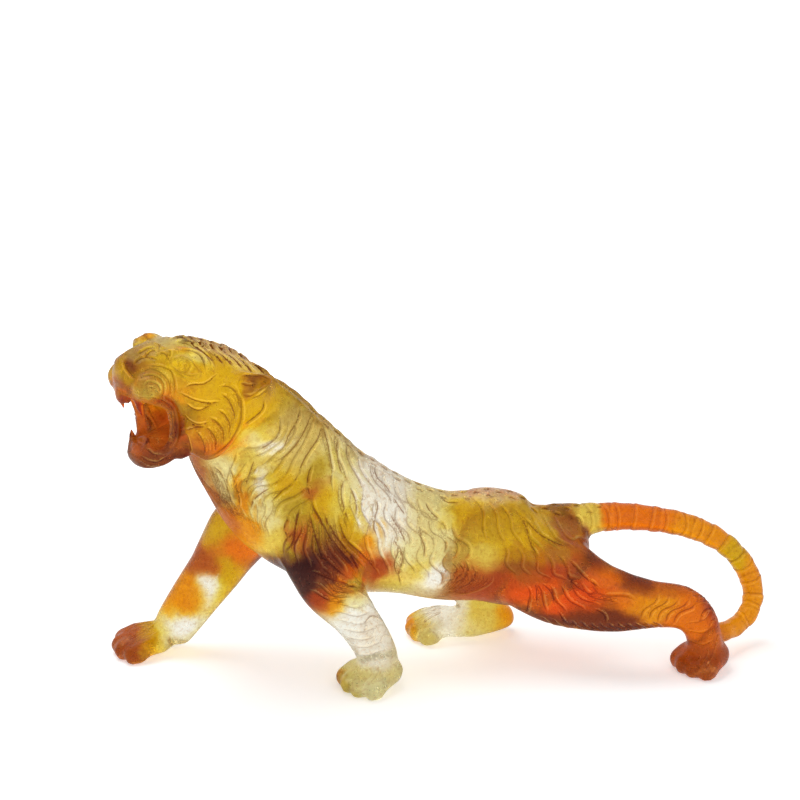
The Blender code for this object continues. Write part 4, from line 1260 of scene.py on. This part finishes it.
@dataclass(frozen=True)
class Softbox:
    """A square soft lamp.

    Attributes:
        name: What it is called.
        place: Where it hangs, in metres.
        aim: Where it points.
        size: Its side in metres.
        power: Its light in watts.
        shine: How strongly it shows in glossy surfaces.
    """

    name: str
    place: Place
    aim: Place
    size: float
    power: float
    shine: float

    def hang(self) -> None:
        """Hangs the lamp in the scene."""
        data = bpy.data.lights.new(self.name, "AREA")
        data.size = self.size
        data.energy = self.power
        data.specular_factor = self.shine
        made = bpy.data.objects.new(self.name, data)
        bpy.context.scene.collection.objects.link(made)
        made.location = self.place
        made.rotation_euler = (Vector(self.aim) - Vector(self.place)).to_track_quat("-Z", "Y").to_euler()


@dataclass
class Studio:
    """The pale floor, the soft lamps and the camera."""

    camera_place: Place = (-0.16969, -1.08176, 0.51269)
    camera_aim: Place = (0.12317, 0.94834, -0.29237)
    lens: float = 82.26
    softboxes: tuple[Softbox, ...] = (
        Softbox("top_softbox", (-0.45, 0.35, 1.5), (-0.05, 0.0, 0.08), 1.2, 15.0, 0.7),
        Softbox("front_softbox", (0.5, -1.4, 1.0), (0.0, 0.0, 0.08), 1.0, 5.0, 0.15),
    )
    room_light: float = 0.36
    floor_size: float = 6.0
    floor_white: Colour = (0.92, 0.92, 0.92)
    near_glow: Colour = (0.42, 0.42, 0.42)
    glow_from: float = 0.35
    glow_over: float = 0.5

    def build(self) -> bpy.types.Object:
        """Makes the studio.

        Returns:
            The floor.
        """
        self._camera()
        self._world()
        for softbox in self.softboxes:
            softbox.hang()
        return self._floor()

    def _camera(self) -> None:
        """The photograph's viewpoint."""
        data = bpy.data.cameras.new("camera")
        data.lens = self.lens
        data.sensor_width = 36.0
        made = bpy.data.objects.new("camera", data)
        bpy.context.scene.collection.objects.link(made)
        ahead = Vector(self.camera_aim).normalized()
        right = ahead.cross(Vector((0, 0, 1))).normalized()
        up = right.cross(ahead)
        turn = Matrix((right, up, -ahead)).transposed().to_4x4()
        made.matrix_world = Matrix.Translation(self.camera_place) @ turn
        bpy.context.scene.camera = made

    def _world(self) -> None:
        """Plain light all round, and white behind the figure."""
        world = bpy.data.worlds.new("studio")
        bpy.context.scene.world = world
        world.use_nodes = True
        tree = world.node_tree
        back = tree.nodes["Background"]
        strength = self.room_light
        for ray in ("Is Camera Ray", "Is Transmission Ray", "Is Glossy Ray"):
            shown = node(tree, "ShaderNodeLightPath", {}, {}, ray)
            strength = node(tree, "ShaderNodeMath", {"operation": "MAXIMUM"}, {0: shown, 1: strength})
        back.inputs["Color"].default_value = (1.0, 1.0, 1.0, 1.0)
        tree.links.new(strength.source, back.inputs["Strength"])

    def _floor(self) -> bpy.types.Object:
        """A broad white floor that keeps the figure's shadow."""
        bm = bmesh.new()
        bmesh.ops.create_grid(bm, x_segments=1, y_segments=1, size=self.floor_size)
        mesh = bpy.data.meshes.new("studio_floor")
        bm.to_mesh(mesh)
        bm.free()
        floor = bpy.data.objects.new("studio_floor", mesh)
        bpy.context.scene.collection.objects.link(floor)
        made = bpy.data.materials.new("white_floor")
        made.use_nodes = True
        tree = made.node_tree
        shader = tree.nodes["Principled BSDF"]
        place = node(tree, "ShaderNodeTexCoord", {}, {}, "Object")
        away = node(tree, "ShaderNodeVectorMath", {"operation": "LENGTH"}, {0: place}, "Value")
        far = ((away - self.glow_from) / self.glow_over).limited()
        glow = node(tree, "ShaderNodeMix", {"data_type": "RGBA"},
                    {"Factor": far, "A": (*self.near_glow, 1.0), "B": (1.0, 1.0, 1.0, 1.0)}, "Result")
        tree.links.new(glow.source, shader.inputs["Emission Color"])
        shader.inputs["Base Color"].default_value = (*self.floor_white, 1.0)
        shader.inputs["Roughness"].default_value = 0.9
        shader.inputs["Specular IOR Level"].default_value = 0.0
        shader.inputs["Emission Strength"].default_value = 1.0
        mesh.materials.append(made)
        return floor


def main() -> None:
    """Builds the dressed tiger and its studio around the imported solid."""
    logging.basicConfig(level=logging.INFO, format="%(name)s: %(message)s")
    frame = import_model()
    bpy.context.scene.view_settings.view_transform = "Standard"
    casting = TigerCasting(frame["nodes"]["tiger_casting"])
    tiger = casting.build()
    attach(tiger, "root")
    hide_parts("tiger_casting")
    LOG.info("%s: %d vertices, %d faces", tiger.name, len(tiger.data.vertices), len(tiger.data.polygons))
    floor = Studio().build()
    LOG.info("%s: %d face", floor.name, len(floor.data.polygons))


if __name__ == "__main__":
    main()
